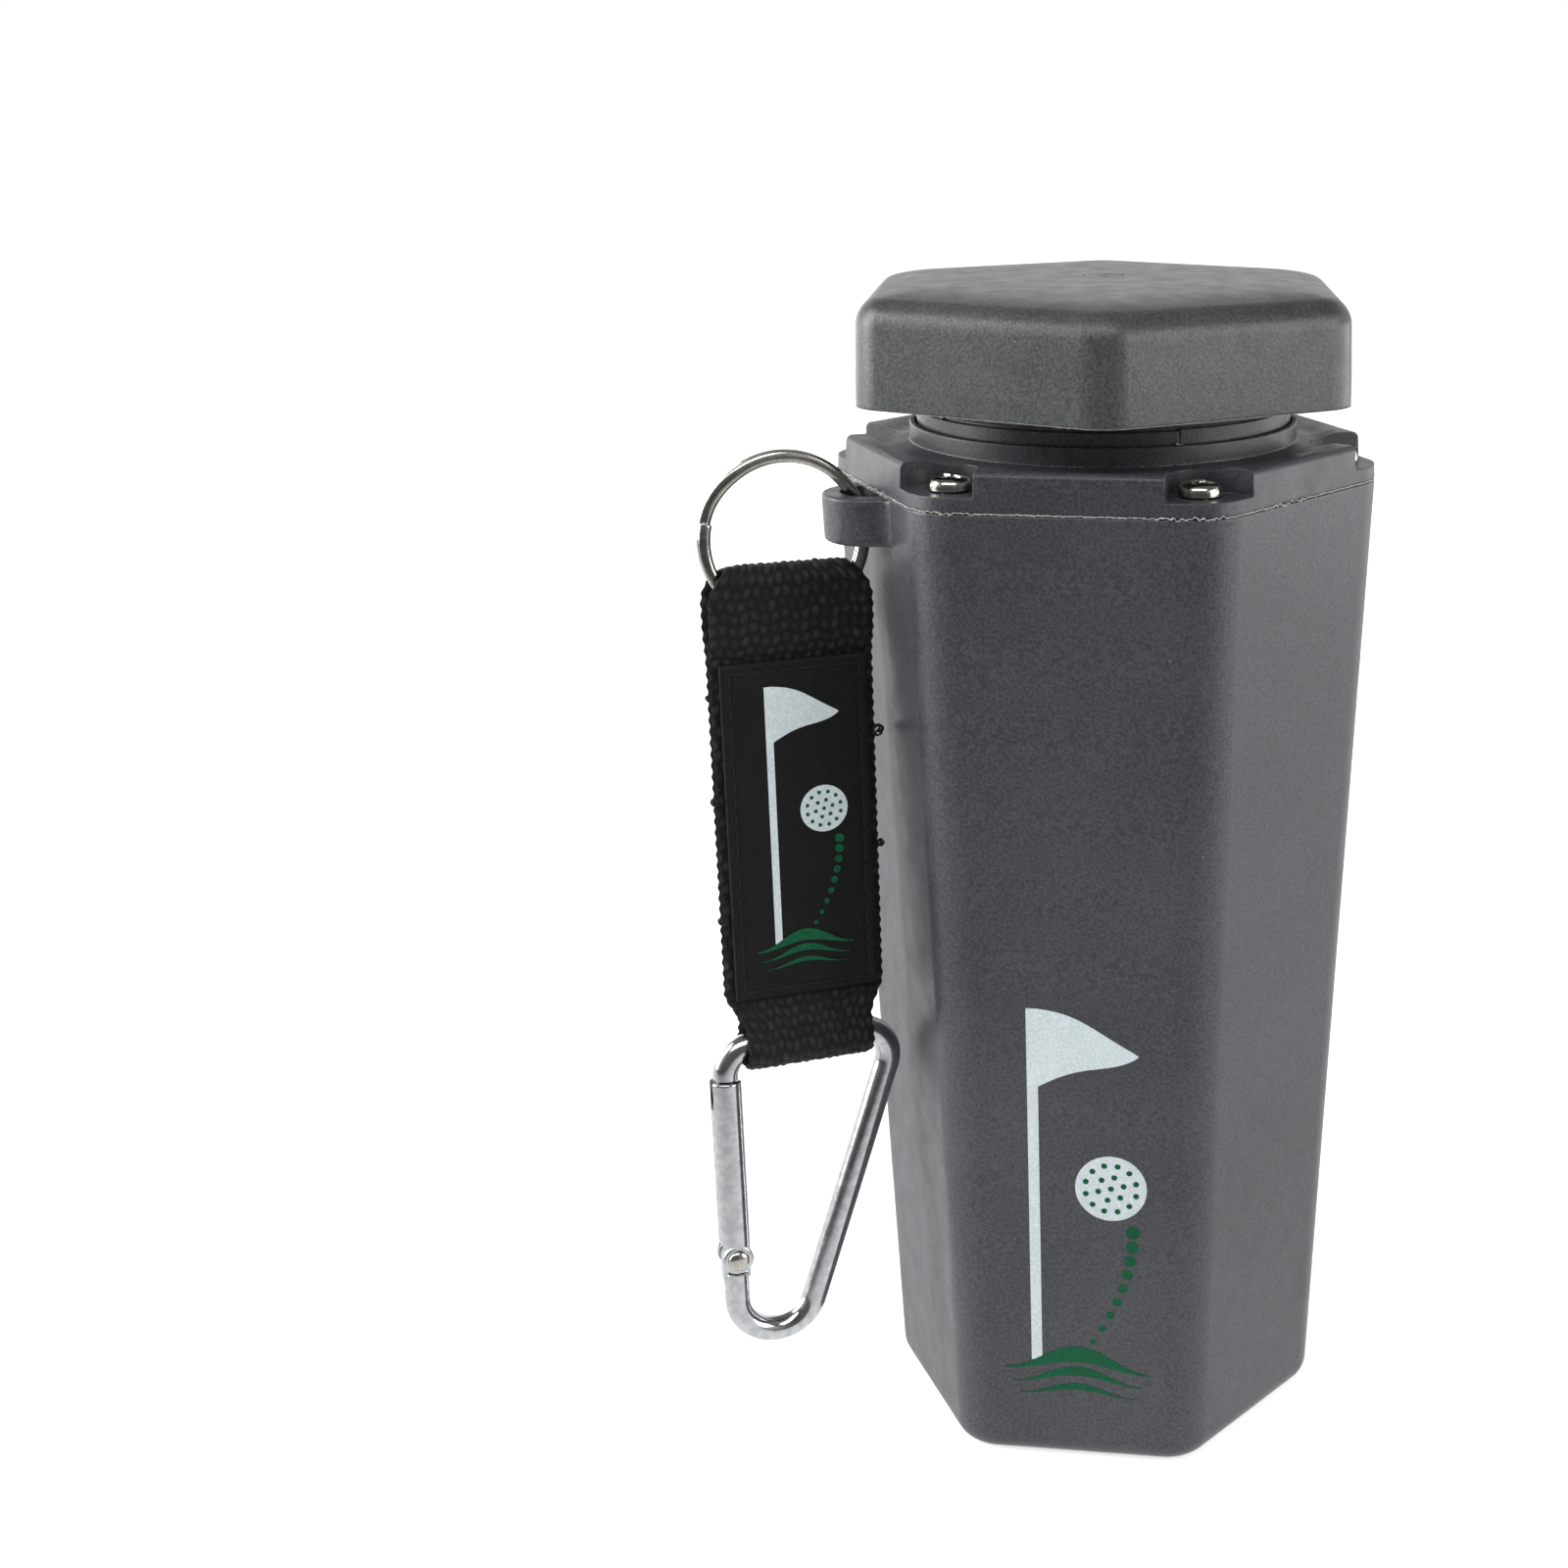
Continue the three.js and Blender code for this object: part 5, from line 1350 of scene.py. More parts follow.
@dataclass
class PanScrew:
    """Cross-recessed pan-head screw with a plated, domed head."""

    head_radius: float = 3.1
    head_height: float = 2.0
    shank_radius: float = 1.5
    shank_length: float = 18.0
    edge_share: float = 0.36
    arm: float = 1.75
    arm_half_width: float = 0.42
    depth: float = 1.3
    seat: float = 157.5
    tip: float = 1.5
    seat_edge: float = 0.15
    rim_share: float = 0.72
    arm_edge: float = 0.16
    arm_end: float = 0.5
    arm_slope: float = 0.45

    def sheet(self) -> Array:
        """Skin of the screw on a polar grid, its seat at height zero.

        The crown is H (e + (1 - e) sqrt(1 - (r / R)^4)). The cross takes from it its depth times
        a step across each arm's side and a slope that is deepest at the middle.
        """
        angle = np.linspace(0, TURN, 121)
        lower = np.array([
            [0.0, -self.shank_length], [self.shank_radius / 2, -self.shank_length],
            [self.shank_radius, -self.shank_length + self.tip], [self.shank_radius, 0.0],
            [self.head_radius - self.seat_edge, 0.0], [self.head_radius, 0.12],
        ])
        below = np.stack([
            lower[:, :1] * np.cos(angle), lower[:, :1] * np.sin(angle),
            np.broadcast_to(lower[:, 1:], (len(lower), len(angle))),
        ], -1)
        rim = np.cos(np.linspace(0, TURN / 4, 14))[:-1] * (1 - self.rim_share) + self.rim_share
        share = np.concatenate([rim, np.linspace(self.rim_share, 0, 40)])[:, None]
        x, y = self.head_radius * share * np.cos(angle), self.head_radius * share * np.sin(angle)
        crown = self.edge_share + (1 - self.edge_share) * np.sqrt(np.clip(1 - share ** 4, 0, 1))
        arms = np.zeros_like(x)
        for along, across in ((x, y), (y, x)):
            side = smooth_step((self.arm_half_width - np.abs(across)) / self.arm_edge + 0.5)
            run = smooth_step((self.arm - np.abs(along)) / self.arm_end + 0.5)
            slope = 1 - self.arm_slope * np.clip(np.abs(along) / self.arm, 0, 1)
            arms = np.maximum(arms, side * run * slope)
        z = self.head_height * crown - self.depth * arms
        return np.concatenate([below, np.stack([x, y, z], -1)])

    def build(self, number: int, place: Array, turn: float) -> Piece:
        """Makes one screw."""
        sheet = spun(self.sheet(), turn) + [*place, self.seat]
        piece = mesh_piece(f"plated_screw_{number}", [sheet], sharp=50, weighted=False)
        return dress(piece, NICKEL.material(), "washer", Slot.STEEL, (f"collar_screw_{number}",))


# Brushes


@dataclass
class WireBrush:
    """Twisted-wire brush: two wires wound together, with strands in a double spiral."""

    base_reach: float = 24.69
    base_height: float = 5.0
    lean: float = math.radians(1.83)
    length: float = 148.4
    wire: float = 0.6
    pitch: float = 4.2
    strand_radius: float = 0.11
    strand_length: float = 12.0
    bare_end: float = 11.0
    wall_base: float = 4.2
    wall_top: float = 5.0
    wall_clearance: float = 0.5
    strands: int = 1500
    seed: int = 20
    height_spread: float = 0.25
    angle_spread: float = 0.38
    rise_spread: float = 0.09
    shortest: float = 0.86
    bend_aside: float = 0.6
    bend_up: float = 0.5
    taper: float = 0.45

    def place(self, points: Array, heading: float) -> Array:
        """Leans points that stand along Z, moves them to the foot and turns them to the heading."""
        lean = np.array([
            [math.cos(self.lean), 0, math.sin(self.lean)],
            [0, 1, 0],
            [-math.sin(self.lean), 0, math.cos(self.lean)],
        ])
        return towards(points @ lean.T + [self.base_reach, 0, self.base_height], heading)

    def core(self, heading: float) -> list[Array]:
        """Two wires on opposite sides of a helix: (w cos a, w sin a, z), a = 2 pi z / pitch."""
        z = np.linspace(self.wire, self.length - self.wire, int(self.length / self.pitch * 14))
        grids = []
        for side in (0, math.pi):
            angle = TURN * z / self.pitch + side
            out = np.column_stack([np.cos(angle), np.sin(angle), np.zeros_like(z)])
            path = out * self.wire * 0.98 + np.column_stack([0 * z, 0 * z, z])
            grids.append(self.place(rod_sheet(path, self.wire, out, 8), heading))
        return grids

    def fibres(self, heading: float, seed: int) -> tuple[Array, Array]:
        """Strands as thin three-sided needles that bend a little on their way out.

        A needle's middle line is foot + L s * out + bend s^2, and its radius tapers with s.

        Args:
            heading: heading of the brush.
            seed: start of the random spread.

        Returns:
            Points, and quads by their corner numbers.
        """
        spread = np.random.default_rng(seed)
        n = self.strands
        height = np.linspace(self.bare_end, self.length - self.bare_end, n)
        height = height + spread.normal(0, self.height_spread, n)
        angle = TURN * height / self.pitch * 0.5 + math.pi * (np.arange(n) % 2)
        angle = angle + spread.normal(0, self.angle_spread, n)
        rise = spread.normal(0, self.rise_spread, n)
        out = np.column_stack([np.cos(angle), np.sin(angle), rise])
        wall = self.wall_base + (self.wall_top - self.wall_base) * height / self.length
        room = (wall - self.wall_clearance) / np.maximum(out[:, 0], 0.05)
        length = np.minimum(self.strand_length * spread.uniform(self.shortest, 1.0, n), room)
        side = np.cross(out, UP)
        bend = spread.normal(0, self.bend_aside, n)[:, None] * side
        bend += spread.normal(0, self.bend_up, n)[:, None] * UP
        bend *= (length / self.strand_length)[:, None] ** 2
        s = np.array([0.0, 0.4, 0.75, 1.0])[:, None]
        foot = np.column_stack([0 * height, 0 * height, height])
        middle = foot[:, None] + s * (out * length[:, None])[:, None] + s ** 2 * bend[:, None]
        around = np.arange(3) * TURN / 3
        thick = self.strand_radius * (1 - self.taper * s)
        ring = np.cos(around)[:, None] * side[:, None, None] + np.sin(around)[:, None] * UP
        points = middle[:, :, None] + thick[None, :, None] * ring
        index = np.arange(n)[:, None, None] * 12 + np.arange(4)[:, None] * 3 + np.arange(3)
        after = np.roll(index, -1, 2)
        sides = np.stack([index[:, :-1], after[:, :-1], after[:, 1:], index[:, 1:]], -1).reshape(-1, 4)
        return self.place(points.reshape(-1, 3), heading), sides

    def build(self, number: int, heading: float) -> None:
        """Makes the wire core and the strands of one brush."""
        core = mesh_piece(f"brush_wire_{number}", self.core(heading), sharp=60, weighted=False)
        dress(core, WIRE.material(), "washer", Slot.FIBRE)
        points, faces = self.fibres(heading, self.seed + number)
        strands = mesh_piece(f"brush_strands_{number}", [points], sharp=90, weighted=False, faces=faces)
        dress(strands, NYLON.material(), "washer", Slot.FIBRE, (f"brush_{number}",))


# Cap and paddle


@dataclass
class Cap:
    """Twist cap: hexagonal shell with a gate mark, and the bayonet insert inside it."""

    flats: float = 71.65
    corner: float = 7.0
    bottom: float = 167.6
    top: float = 184.4
    fillet: float = 4.2
    crown: float = 1.3
    crown_slope: float = math.radians(14)
    wall: float = 2.5
    draft: float = 0.25
    turn: float = math.radians(37.75)
    gate_radius: float = 3.4
    gate_depth: float = 0.12
    insert_inner: float = 29.8
    insert_wall: float = 2.0
    insert_plate_low: float = 175.8
    insert_plate: float = 2.4
    insert_hole: float = 3.4
    lug_reach: float = 28.4
    lug_low: float = 168.7
    lug_thickness: float = 2.1
    lug_span: float = 22.0
    lug_heading: float = 80.75
    insert_gap: float = 0.3
    inner_corner: float = 0.8
    flash_lift: float = 0.08

    def shell(self) -> Piece:
        """Shell from the inner top down the inner wall, round the rim, up and over the top.

        The top edge is an arc that ends at the crown's slope. The crown lies crown * s^p under the
        middle at a share s of its reach, with p from that slope. Its rings turn from the hexagon
        into circles, round a shallow round gate mark at the middle.
        """
        inner_top = self.top - self.wall
        angle = np.linspace(0, TURN / 4 - self.crown_slope, 15)
        drawn = self.draft + self.fillet * (1 - np.cos(angle))
        high = self.top - self.crown + self.fillet * (np.sin(angle) - math.cos(self.crown_slope))
        rim = eased([[self.wall, self.bottom + 4], [self.wall, self.bottom], [0.0, self.bottom],
                     [0.02, self.bottom + 4]], 0.35)
        offset = np.concatenate([[self.wall + self.draft], rim[:, 0], drawn])
        z = np.concatenate([[inner_top], rim[:, 1], high])
        corner = np.maximum(self.corner - offset, self.inner_corner)
        sheet = hexagon_sheet(self.flats - 2 * offset, corner, z, 18)
        edge = sheet[-1]
        spokes = np.arctan2(edge[:, 1], edge[:, 0])
        round_edge = np.column_stack([np.cos(spokes), np.sin(spokes), np.zeros_like(spokes)])
        rows = []
        reach = np.linalg.norm(edge[:, :2], axis=1).mean()
        power = math.tan(self.crown_slope) * reach / self.crown
        for share in (0.96, 0.92, 0.87, 0.81, 0.74, 0.65, 0.5, 0.3):
            row = (edge * share + round_edge * reach * (1 - share)) * share
            row[:, 2] = self.top - self.crown * share ** power
            rows.append(row)
        for radius, drop in ((self.gate_radius + 0.2, 0), (self.gate_radius, self.gate_depth),
                             (self.gate_radius - 0.25, 0.02), (1.2, 0.0), (1.0, 0.08), (0.0, 0.08)):
            rows.append(round_edge * radius + [0, 0, self.top - drop])
        close = np.broadcast_to([0, 0, inner_top], edge.shape)
        sheet = np.concatenate([[close], sheet, rows])
        shell = mesh_piece("cap_moulding", [spun(sheet, self.turn)], sharp=30)
        return dress(shell, CAP_PLASTIC.material(), "cap", Slot.PLASTIC, ("cap_shell",))

    def insert(self) -> Piece:
        """Sleeve and plate turned about the axis, with two bayonet lugs joined on."""
        inner, outer = self.insert_inner, self.insert_inner + self.insert_wall
        low, plate = self.lug_low, self.insert_plate_low
        top = self.top - self.wall - self.insert_gap
        body = eased([
            [self.insert_hole, plate + 1], [self.insert_hole, plate], [inner, plate], [inner, low],
            [outer, low], [outer, top], [inner, top], [inner, plate + self.insert_plate],
            [self.insert_hole, plate + self.insert_plate], [self.insert_hole, plate + 1],
        ], [0.2, 0.0, 0.25, 0.25, 0.2, 0.2, 0.0, 0.2])
        solid = tool_solid(turned_sheet(body))
        lugs = [
            Collar.sector(self.lug_reach, inner + self.insert_wall / 2, side + self.lug_heading
                          - self.lug_span / 2, self.lug_span, low, low + self.lug_thickness)
            for side in (0, 180)
        ]
        carve(solid, lugs, Carve.JOIN)
        moved(solid, lambda points: spun(points, self.turn))
        shade(solid, 30)
        solid.name = "bayonet_insert"
        return dress(solid, INNER_PLASTIC.material(), "cap", Slot.PLASTIC, ("cap_insert",))

    def edge_flash(self) -> Piece:
        """Flash along the cap's lower edge."""
        edge = spun(hexagon_sheet([self.flats], [self.corner], [0.0], 60)[0], self.turn)[:, :2]
        return Flash("cap_edge_flash", "cap", self.bottom + self.flash_lift, base=0.03, ragged=0.1,
                     rise=0.02, thickness=0.06, seed=21).build(edge)


@dataclass
class Paddle:
    """Flat ball paddle with a round hole, two windows and a hub for the swivel screw."""

    half_width: float = 25.5
    thickness: float = 6.8
    bottom: float = 6.0
    top: float = 171.0
    ball_radius: float = 21.7
    ball_height: float = 31.1
    window_low: float = 56.8
    window_high: float = 161.0
    window_near: float = 4.5
    window_far: float = 20.0
    corner: float = 3.0
    bevel: float = 0.5
    hub_radius: float = 7.0
    hub_low: float = 161.0
    hub_top: float = 175.5
    thread_radius: float = 2.35
    thread_low: float = 165.8
    heading: float = 60.0

    def rectangle(self, left: float, low: float, right: float, high: float) -> Array:
        """Rectangle with rounded corners."""
        r = self.corner
        return np.concatenate([
            arc(right - r, low + r, r, -90, 0, 8), arc(right - r, high - r, r, 0, 90, 8),
            arc(left + r, high - r, r, 90, 180, 8), arc(left + r, low + r, r, 180, 270, 8),
        ])

    def build(self) -> Piece:
        """Makes the plate, stands it up, joins the hub and drills it."""
        outlines = [
            self.rectangle(-self.half_width, self.bottom, self.half_width, self.top),
            circle(self.ball_radius, 120, y=self.ball_height),
            self.rectangle(self.window_near, self.window_low, self.window_far, self.window_high),
            self.rectangle(-self.window_far, self.window_low, -self.window_near, self.window_high),
        ]
        plate = flat_plate("ball_paddle_plate", outlines, self.thickness, self.bevel)
        moved(plate, upright)
        hub = eased([[0, self.hub_low], [self.hub_radius, self.hub_low], [self.hub_radius, self.hub_top],
                     [0, self.hub_top]], [0.0, 0.4])
        thread = prism_sheet(circle(self.thread_radius, 24), self.thread_low, self.hub_top + OVERRUN)
        carve(plate, [tool_solid(turned_sheet(hub, 64))], Carve.JOIN)
        carve(plate, [tool_solid(thread)], Carve.CUT)
        moved(plate, lambda points: towards(points, self.heading))
        shade(plate, 30)
        return dress(plate, INNER_PLASTIC.material(), "carrier", Slot.PLASTIC, ("ball_paddle",))


# Strap chain, worked out in the plane of the ring: local X outward from the cup face


@dataclass
class StrapChain:
    """Split ring, folded webbing with its label, and snap hook, hanging from the lug."""

    heading: float = 60.0
    ring_x: float = 50.5
    ring_z: float = 148.7
    ring_radius: float = 12.0
    ring_wire: float = 2.0
    width: float = 25.0
    layer: float = 1.4
    fold_top: float = 145.4
    ring_half: float = 2.15
    bar_half: float = 3.55
    bar_z: float = 69.7
    taper_high: float = 134.7
    taper_low: float = 131.7
    flare: float = 7.5
    shoulder: float = 6.0
    narrowing: float = 2.4
    narrow_top: float = 72.5
    warp_pitch: float = 1.55
    weft_pitch: float = 1.75
    weave_height: float = 0.34
    label_width: float = 22.5
    label_low: float = 77.9
    label_high: float = 130.9
    label_face: float = 2.3
    hook_width: float = 26.5
    hook_length: float = 50.5
    rod: float = 2.0
    hook_corner: float = 5.0
    nose: float = 6.5
    gate_radius: float = 2.5
    gate_length: float = 30.5
    gate_slot: float = 2.4
    tongue: float = 1.8
    tongue_radius: float = 2.2
    rivet_radius: float = 0.85
    rivet_head: float = 1.7
    rivet_dome: float = 0.75
    coil_start: float = math.radians(38)
    coil_end: float = 0.42
    coil_step: float = 0.68
    coil_wire: float = 0.24
    coil_flat: float = 1.9
    layer_gap: float = 0.05
    grid_step: float = 0.255
    columns: int = 101
    floats: int = 48
    label_thickness: float = 0.62
    seam_inset: float = 1.3
    seam_dip: float = 0.16
    stitch_step: float = 2.6
    stitch_gap: float = 0.14
    stitch_radius: float = 0.16
    thread_radius: float = 0.14
    print_scale: float = 0.66
    gate_play: float = 0.3
    latch_half: float = 1.0
    latch_depth: float = 4.6
    print_gap: float = 0.03

    @property
    def label_middle(self) -> float:
        """Height of the label's middle."""
        return (self.label_low + self.label_high) / 2

    @property
    def label_half(self) -> Array:
        """Half the label's width and height."""
        return np.array([self.label_width, self.label_high - self.label_low]) / 2

    @property
    def gate_top(self) -> float:
        """Height of the gate's free end from the hook's bar."""
        return -self.hook_corner - self.gate_play

    @property
    def rivet_z(self) -> float:
        """Height of the gate's rivet from the hook's bar."""
        return self.gate_top - self.gate_length

    def place(self, points: Array) -> Array:
        """Local points brought to the lug's heading."""
        return towards(points, self.heading)

    def split_ring(self) -> Piece:
        """Two turns of flat spring wire with a step between them.

        The wire's middle is R (cos a, sin a) for a through almost two turns, and its side place
        steps from one turn to the other by a smooth step round the half way point.
        """
        angle = np.linspace(self.coil_end, 2 * TURN - self.coil_end, 361)
        step = smooth_step((angle - TURN + self.coil_step / 2) / self.coil_step)
        side = (step - 0.5) * self.ring_wire / 2
        turn = angle + self.coil_start
        out = np.column_stack([np.cos(turn), 0 * angle, np.sin(turn)])
        path = out * self.ring_radius + np.column_stack([0 * angle, side, 0 * angle])
        sheet = rod_sheet(path, self.ring_wire * self.coil_wire, out, 14, self.coil_flat, 0.3)
        piece = mesh_piece("split_ring_coil", [self.place(sheet + [self.ring_x, 0, self.ring_z])],
                           sharp=60, weighted=False)
        return dress(piece, SPRING_STEEL.material(), "ring", Slot.STEEL, ("split_ring",))

    def fold_path(self) -> Array:
        """Middle line of the folded webbing in local y and z, a loop at even steps."""
        top, low = self.fold_top - self.layer / 2 - self.ring_half, self.bar_z
        flat = self.layer / 2 + self.layer_gap
        front = np.array([
            [self.ring_half, top], [self.ring_half, self.taper_high], [flat, self.taper_low],
            [flat, low + self.flare], [self.bar_half, low],
        ])
        front = eased(front, [2.5, 2.5, 2.5], 8)
        loop = np.concatenate([
            arc(0, top, self.ring_half, 180, 0, 24), front[1:-1],
            arc(0, low, self.bar_half, 0, -180, 32), (front[::-1] * [-1, 1])[1:-1],
        ])
        loop = np.concatenate([loop, loop[:1]])
        loop = resampled(loop, np.arange(0, run_length(loop)[-1], self.grid_step))
        return np.concatenate([loop, loop[:1]])

    def half_width(self, z: Array) -> Array:
        """Half width of the webbing at a height: round shoulders at the ring, drawn in at the bar."""
        half = self.width / 2
        above = np.clip(z - (self.fold_top - self.shoulder), 0, self.shoulder * 0.999)
        shoulder = half - self.shoulder + np.sqrt(self.shoulder ** 2 - above ** 2)
        drawn = half - self.narrowing * (1 - smooth_step((z - self.narrow_top) / self.shoulder))
        return np.minimum(shoulder, drawn)

    def webbing(self) -> Piece:
        """Woven band folded round the ring and the hook's bar.

        Height over the band is h |sin(pi u / p)|^0.8 * |sin(pi v / q)|^0.7, with u shifted by half
        a yarn in every other row, so floats lie like bricks. Rows wave a little across the band, and
        each has its own small shift and each float its own height, because the yarns are uneven.
        The section rounds off at both edges, and the inner side has half as many columns.
        """
        loop = self.fold_path()
        tangent = np.gradient(loop, axis=0)
        tangent[0] = tangent[-1] = tangent[0] + tangent[-1]
        tangent /= np.linalg.norm(tangent, axis=1, keepdims=True)
        normal = np.column_stack([-tangent[:, 1], tangent[:, 0]])
        along = run_length(loop)
        rows = round(along[-1] / self.weft_pitch / 2) * 2
        pitch = along[-1] / rows
        share = np.linspace(-1, 1, self.columns)
        u = share * self.width / 2
        spread = np.random.default_rng(7)
        cells = spread.uniform(0.45, 1.0, (rows, self.floats))
        shift = spread.uniform(-0.2, 0.2, rows)
        wave = along[:, None] / pitch + 0.17 * np.sin(TURN * u / (3.1 * self.warp_pitch))
        row = np.floor(wave).astype(int) % rows
        brick = u / self.warp_pitch + row % 2 * 0.5 + shift[row]
        lift = np.abs(np.sin(math.pi * brick)) ** 0.8 * np.abs(np.sin(math.pi * wave)) ** 0.7
        lift = lift * cells[row, np.floor(brick).astype(int) + self.floats // 2]
        edge = np.sqrt(np.clip(1 - np.abs(share) ** 14, 0, 1))
        thick = (self.layer / 2 - self.weave_height) * edge + self.weave_height * lift * edge
        x = share * self.half_width(loop[:, 1])[:, None]
        selvedge = 0.12 * np.sin(TURN * along / pitch)[:, None] * np.abs(share) ** 8 * np.sign(share)
        faces = []
        for sign in (1, -1):
            yz = loop[:, None] + sign * thick[..., None] * normal[:, None]
            faces.append(np.concatenate([(x + selvedge)[..., None], yz], -1))
        band = np.concatenate([faces[0], faces[1][:, ::-2], faces[0][:, :1]], 1)
        band = band + [self.ring_x, 0, 0]
        # Lift of each point, which the weave's finish turns into painted shade in its pits
        tone = np.concatenate([lift, lift[:, ::-2], lift[:, :1]], 1)
        piece = mesh_piece("webbing_band", [self.place(band)], sharp=80, weighted=False, lift=tone)
        return dress(piece, POLYESTER.material(), "strap", Slot.WEBBING, ("strap_webbing",))

    def label(self) -> Piece:
        """Sewn patch: a thin pad that dips to its edges, pulled down along its row of stitches."""
        half_w, half_h = self.label_half
        u = np.sin(np.linspace(-1, 1, 61) * TURN / 4)[None, :]
        v = np.sin(np.linspace(-1, 1, 141) * TURN / 4)[:, None]
        x, z = np.broadcast_arrays(u * half_w, v * half_h)
        inset = np.minimum(half_w - np.abs(x), half_h - np.abs(z))
        seam = np.exp(-((inset - self.seam_inset) / 0.35) ** 2)
        face = self.label_face - 0.28 * np.exp(-inset / 0.16) - self.seam_dip * seam
        face = face + 0.05 * ripple(x + 0.6 * z, [7.3, 4.1], 4) * smooth_step(inset / 3)
        front = np.stack([x + self.ring_x, face, z + self.label_middle], -1)
        rear = front.copy()
        rear[..., 1] = self.label_face - self.label_thickness
        sheets = [front, rear]
        for pick in (np.s_[0], np.s_[-1], np.s_[:, 0], np.s_[:, -1]):
            sheets.append(np.stack([front[pick], rear[pick]]))
        piece = mesh_piece("label_patch", [self.place(sheet) for sheet in sheets], sharp=40, weighted=False)
        return dress(piece, SATIN.material(), "strap", Slot.WEBBING, ("strap_label",))

    def stitches(self) -> Piece:
        """Row of thread stitches round the label and a few short thread ends at its sides.

        Each stitch is a low arch, h (1 - (2 t - 1)^2) over its length.
        """
        half_w, half_h = self.label_half - self.seam_inset
        t = np.linspace(0, 1, 7)[:, None]
        middle = np.array([self.ring_x, 0, self.label_middle])
        grids = []
        corners = np.array(strip(-half_w, half_w, half_h))
        for start, end in zip(corners, np.roll(corners, -1, 0)):
            count = round(float(np.linalg.norm(end - start)) / self.stitch_step)
            for number in range(count):
                a = start + (end - start) * (number + self.stitch_gap) / count
                b = start + (end - start) * (number + 1 - self.stitch_gap) / count
                flat = a + (b - a) * t
                y = self.label_face - 0.2 + 0.16 * (1 - (2 * t - 1) ** 2)
                path = np.column_stack([flat[:, 0], y[:, 0], flat[:, 1]]) + middle
                grids.append(self.place(rod_sheet(path, self.stitch_radius, ASIDE, 6)))
        grids.extend(self.place(grid) for grid in self.thread_ends())
        piece = mesh_piece("label_stitches", grids, sharp=70, weighted=False)
        return dress(piece, THREAD.material(), "strap", Slot.WEBBING)

    def thread_ends(self) -> list[Array]:
        """Curled thread ends: each turns round a short axis while its radius grows and shrinks."""
        spread = np.random.default_rng(11)
        grids = []
        spots = ((-1, 12.5, 1.5), (-1, 30.5, 0.8), (1, 5.0, 0.7), (1, 21.0, 0.9), (1, 40.0, 0.7))
        for side, down, size in spots:
            for _ in range(4):
                t = np.linspace(0, 1, 26)
                phase, turns = spread.uniform(0, TURN), spread.uniform(1.2, 2.1)
                radius = size * 0.55 * np.sin(math.pi * np.clip(t, 0.06, 0.94))
                far = self.width / 2 + 0.1 + size * 0.5 * t
                x = side * far + radius * np.cos(TURN * turns * t + phase)
                z = self.label_high - down + radius * np.sin(TURN * turns * t + phase) + 0.7 * (t - 0.5)
                y = 1.1 + 0.35 * np.sin(math.pi * t * 2 + phase)
                path = np.column_stack([x + self.ring_x, y, z])
                grids.append(rod_sheet(path, self.thread_radius, ASIDE, 6))
        return grids

    def hook_path(self) -> Array:
        """Middle line of the bent rod in local x and z, from its nose round to the gate's hinge."""
        half = self.hook_width / 2
        nose = np.array([half - self.nose, self.nose - self.hook_length])
        corner = np.array([self.hook_corner - half, -self.hook_corner])
        between = nose - corner
        reach = float(np.linalg.norm(between))
        heading = math.degrees(math.atan2(between[1], between[0]))
        tangent = heading - math.degrees(math.acos((self.hook_corner - self.nose) / reach)) + 360
        path = np.concatenate([
            arc(half - self.hook_corner, -self.hook_corner, self.hook_corner, 0, 90, 16),
            arc(*corner, self.hook_corner, 90, tangent, 24),
            arc(*nose, self.nose, tangent, 360, 36),
            [[half, self.rivet_z - self.gate_radius - 0.6]],
        ])
        return resampled(path, np.linspace(0, run_length(path)[-1], 260))

    def to_hook(self, points: Array) -> Array:
        """Points about the hook's bar brought to their place."""
        return self.place(points + [self.ring_x, 0, self.bar_z])

    def tab(self, low: float, high: float, radius: float, thickness: float, up: bool) -> Piece:
        """Flat tab with one round end, standing in the plane of the hook."""
        half = self.hook_width / 2
        end = arc(half, high, radius, 0, 180, 20) if up else arc(half, low, radius, 180, 360, 20)
        other = low if up else high
        sides = [[half - radius, other], [half + radius, other]]
        outline = np.concatenate([end, sides if up else sides[::-1]])
        return moved(flat_plate("tab", [outline], thickness, 0.2), upright)

    def hook(self) -> Piece:
        """Bent rod with the hinge tab for the gate and the latch tab at its nose."""
        flat = self.hook_path()
        path = np.column_stack([flat[:, 0], 0 * flat[:, 0], flat[:, 1]])
        rod = mesh_piece("rod", [rod_sheet(path, self.rod, ASIDE, 36, dome=0.15)], weighted=False)
        hinge = self.tab(self.rivet_z - self.gate_radius - 1.5, self.rivet_z, self.tongue_radius,
                         self.tongue, True)
        latch = self.tab(-self.hook_corner - 3.2, -self.hook_corner + 1.0, 1.5, 1.5, False)
        piece = united("hook_rod", [rod, hinge, latch])
        moved(piece, self.to_hook)
        shade(piece, 40, False)
        return dress(piece, ALUMINIUM.material(), "hook", Slot.ALUMINIUM, ("hook_frame",))

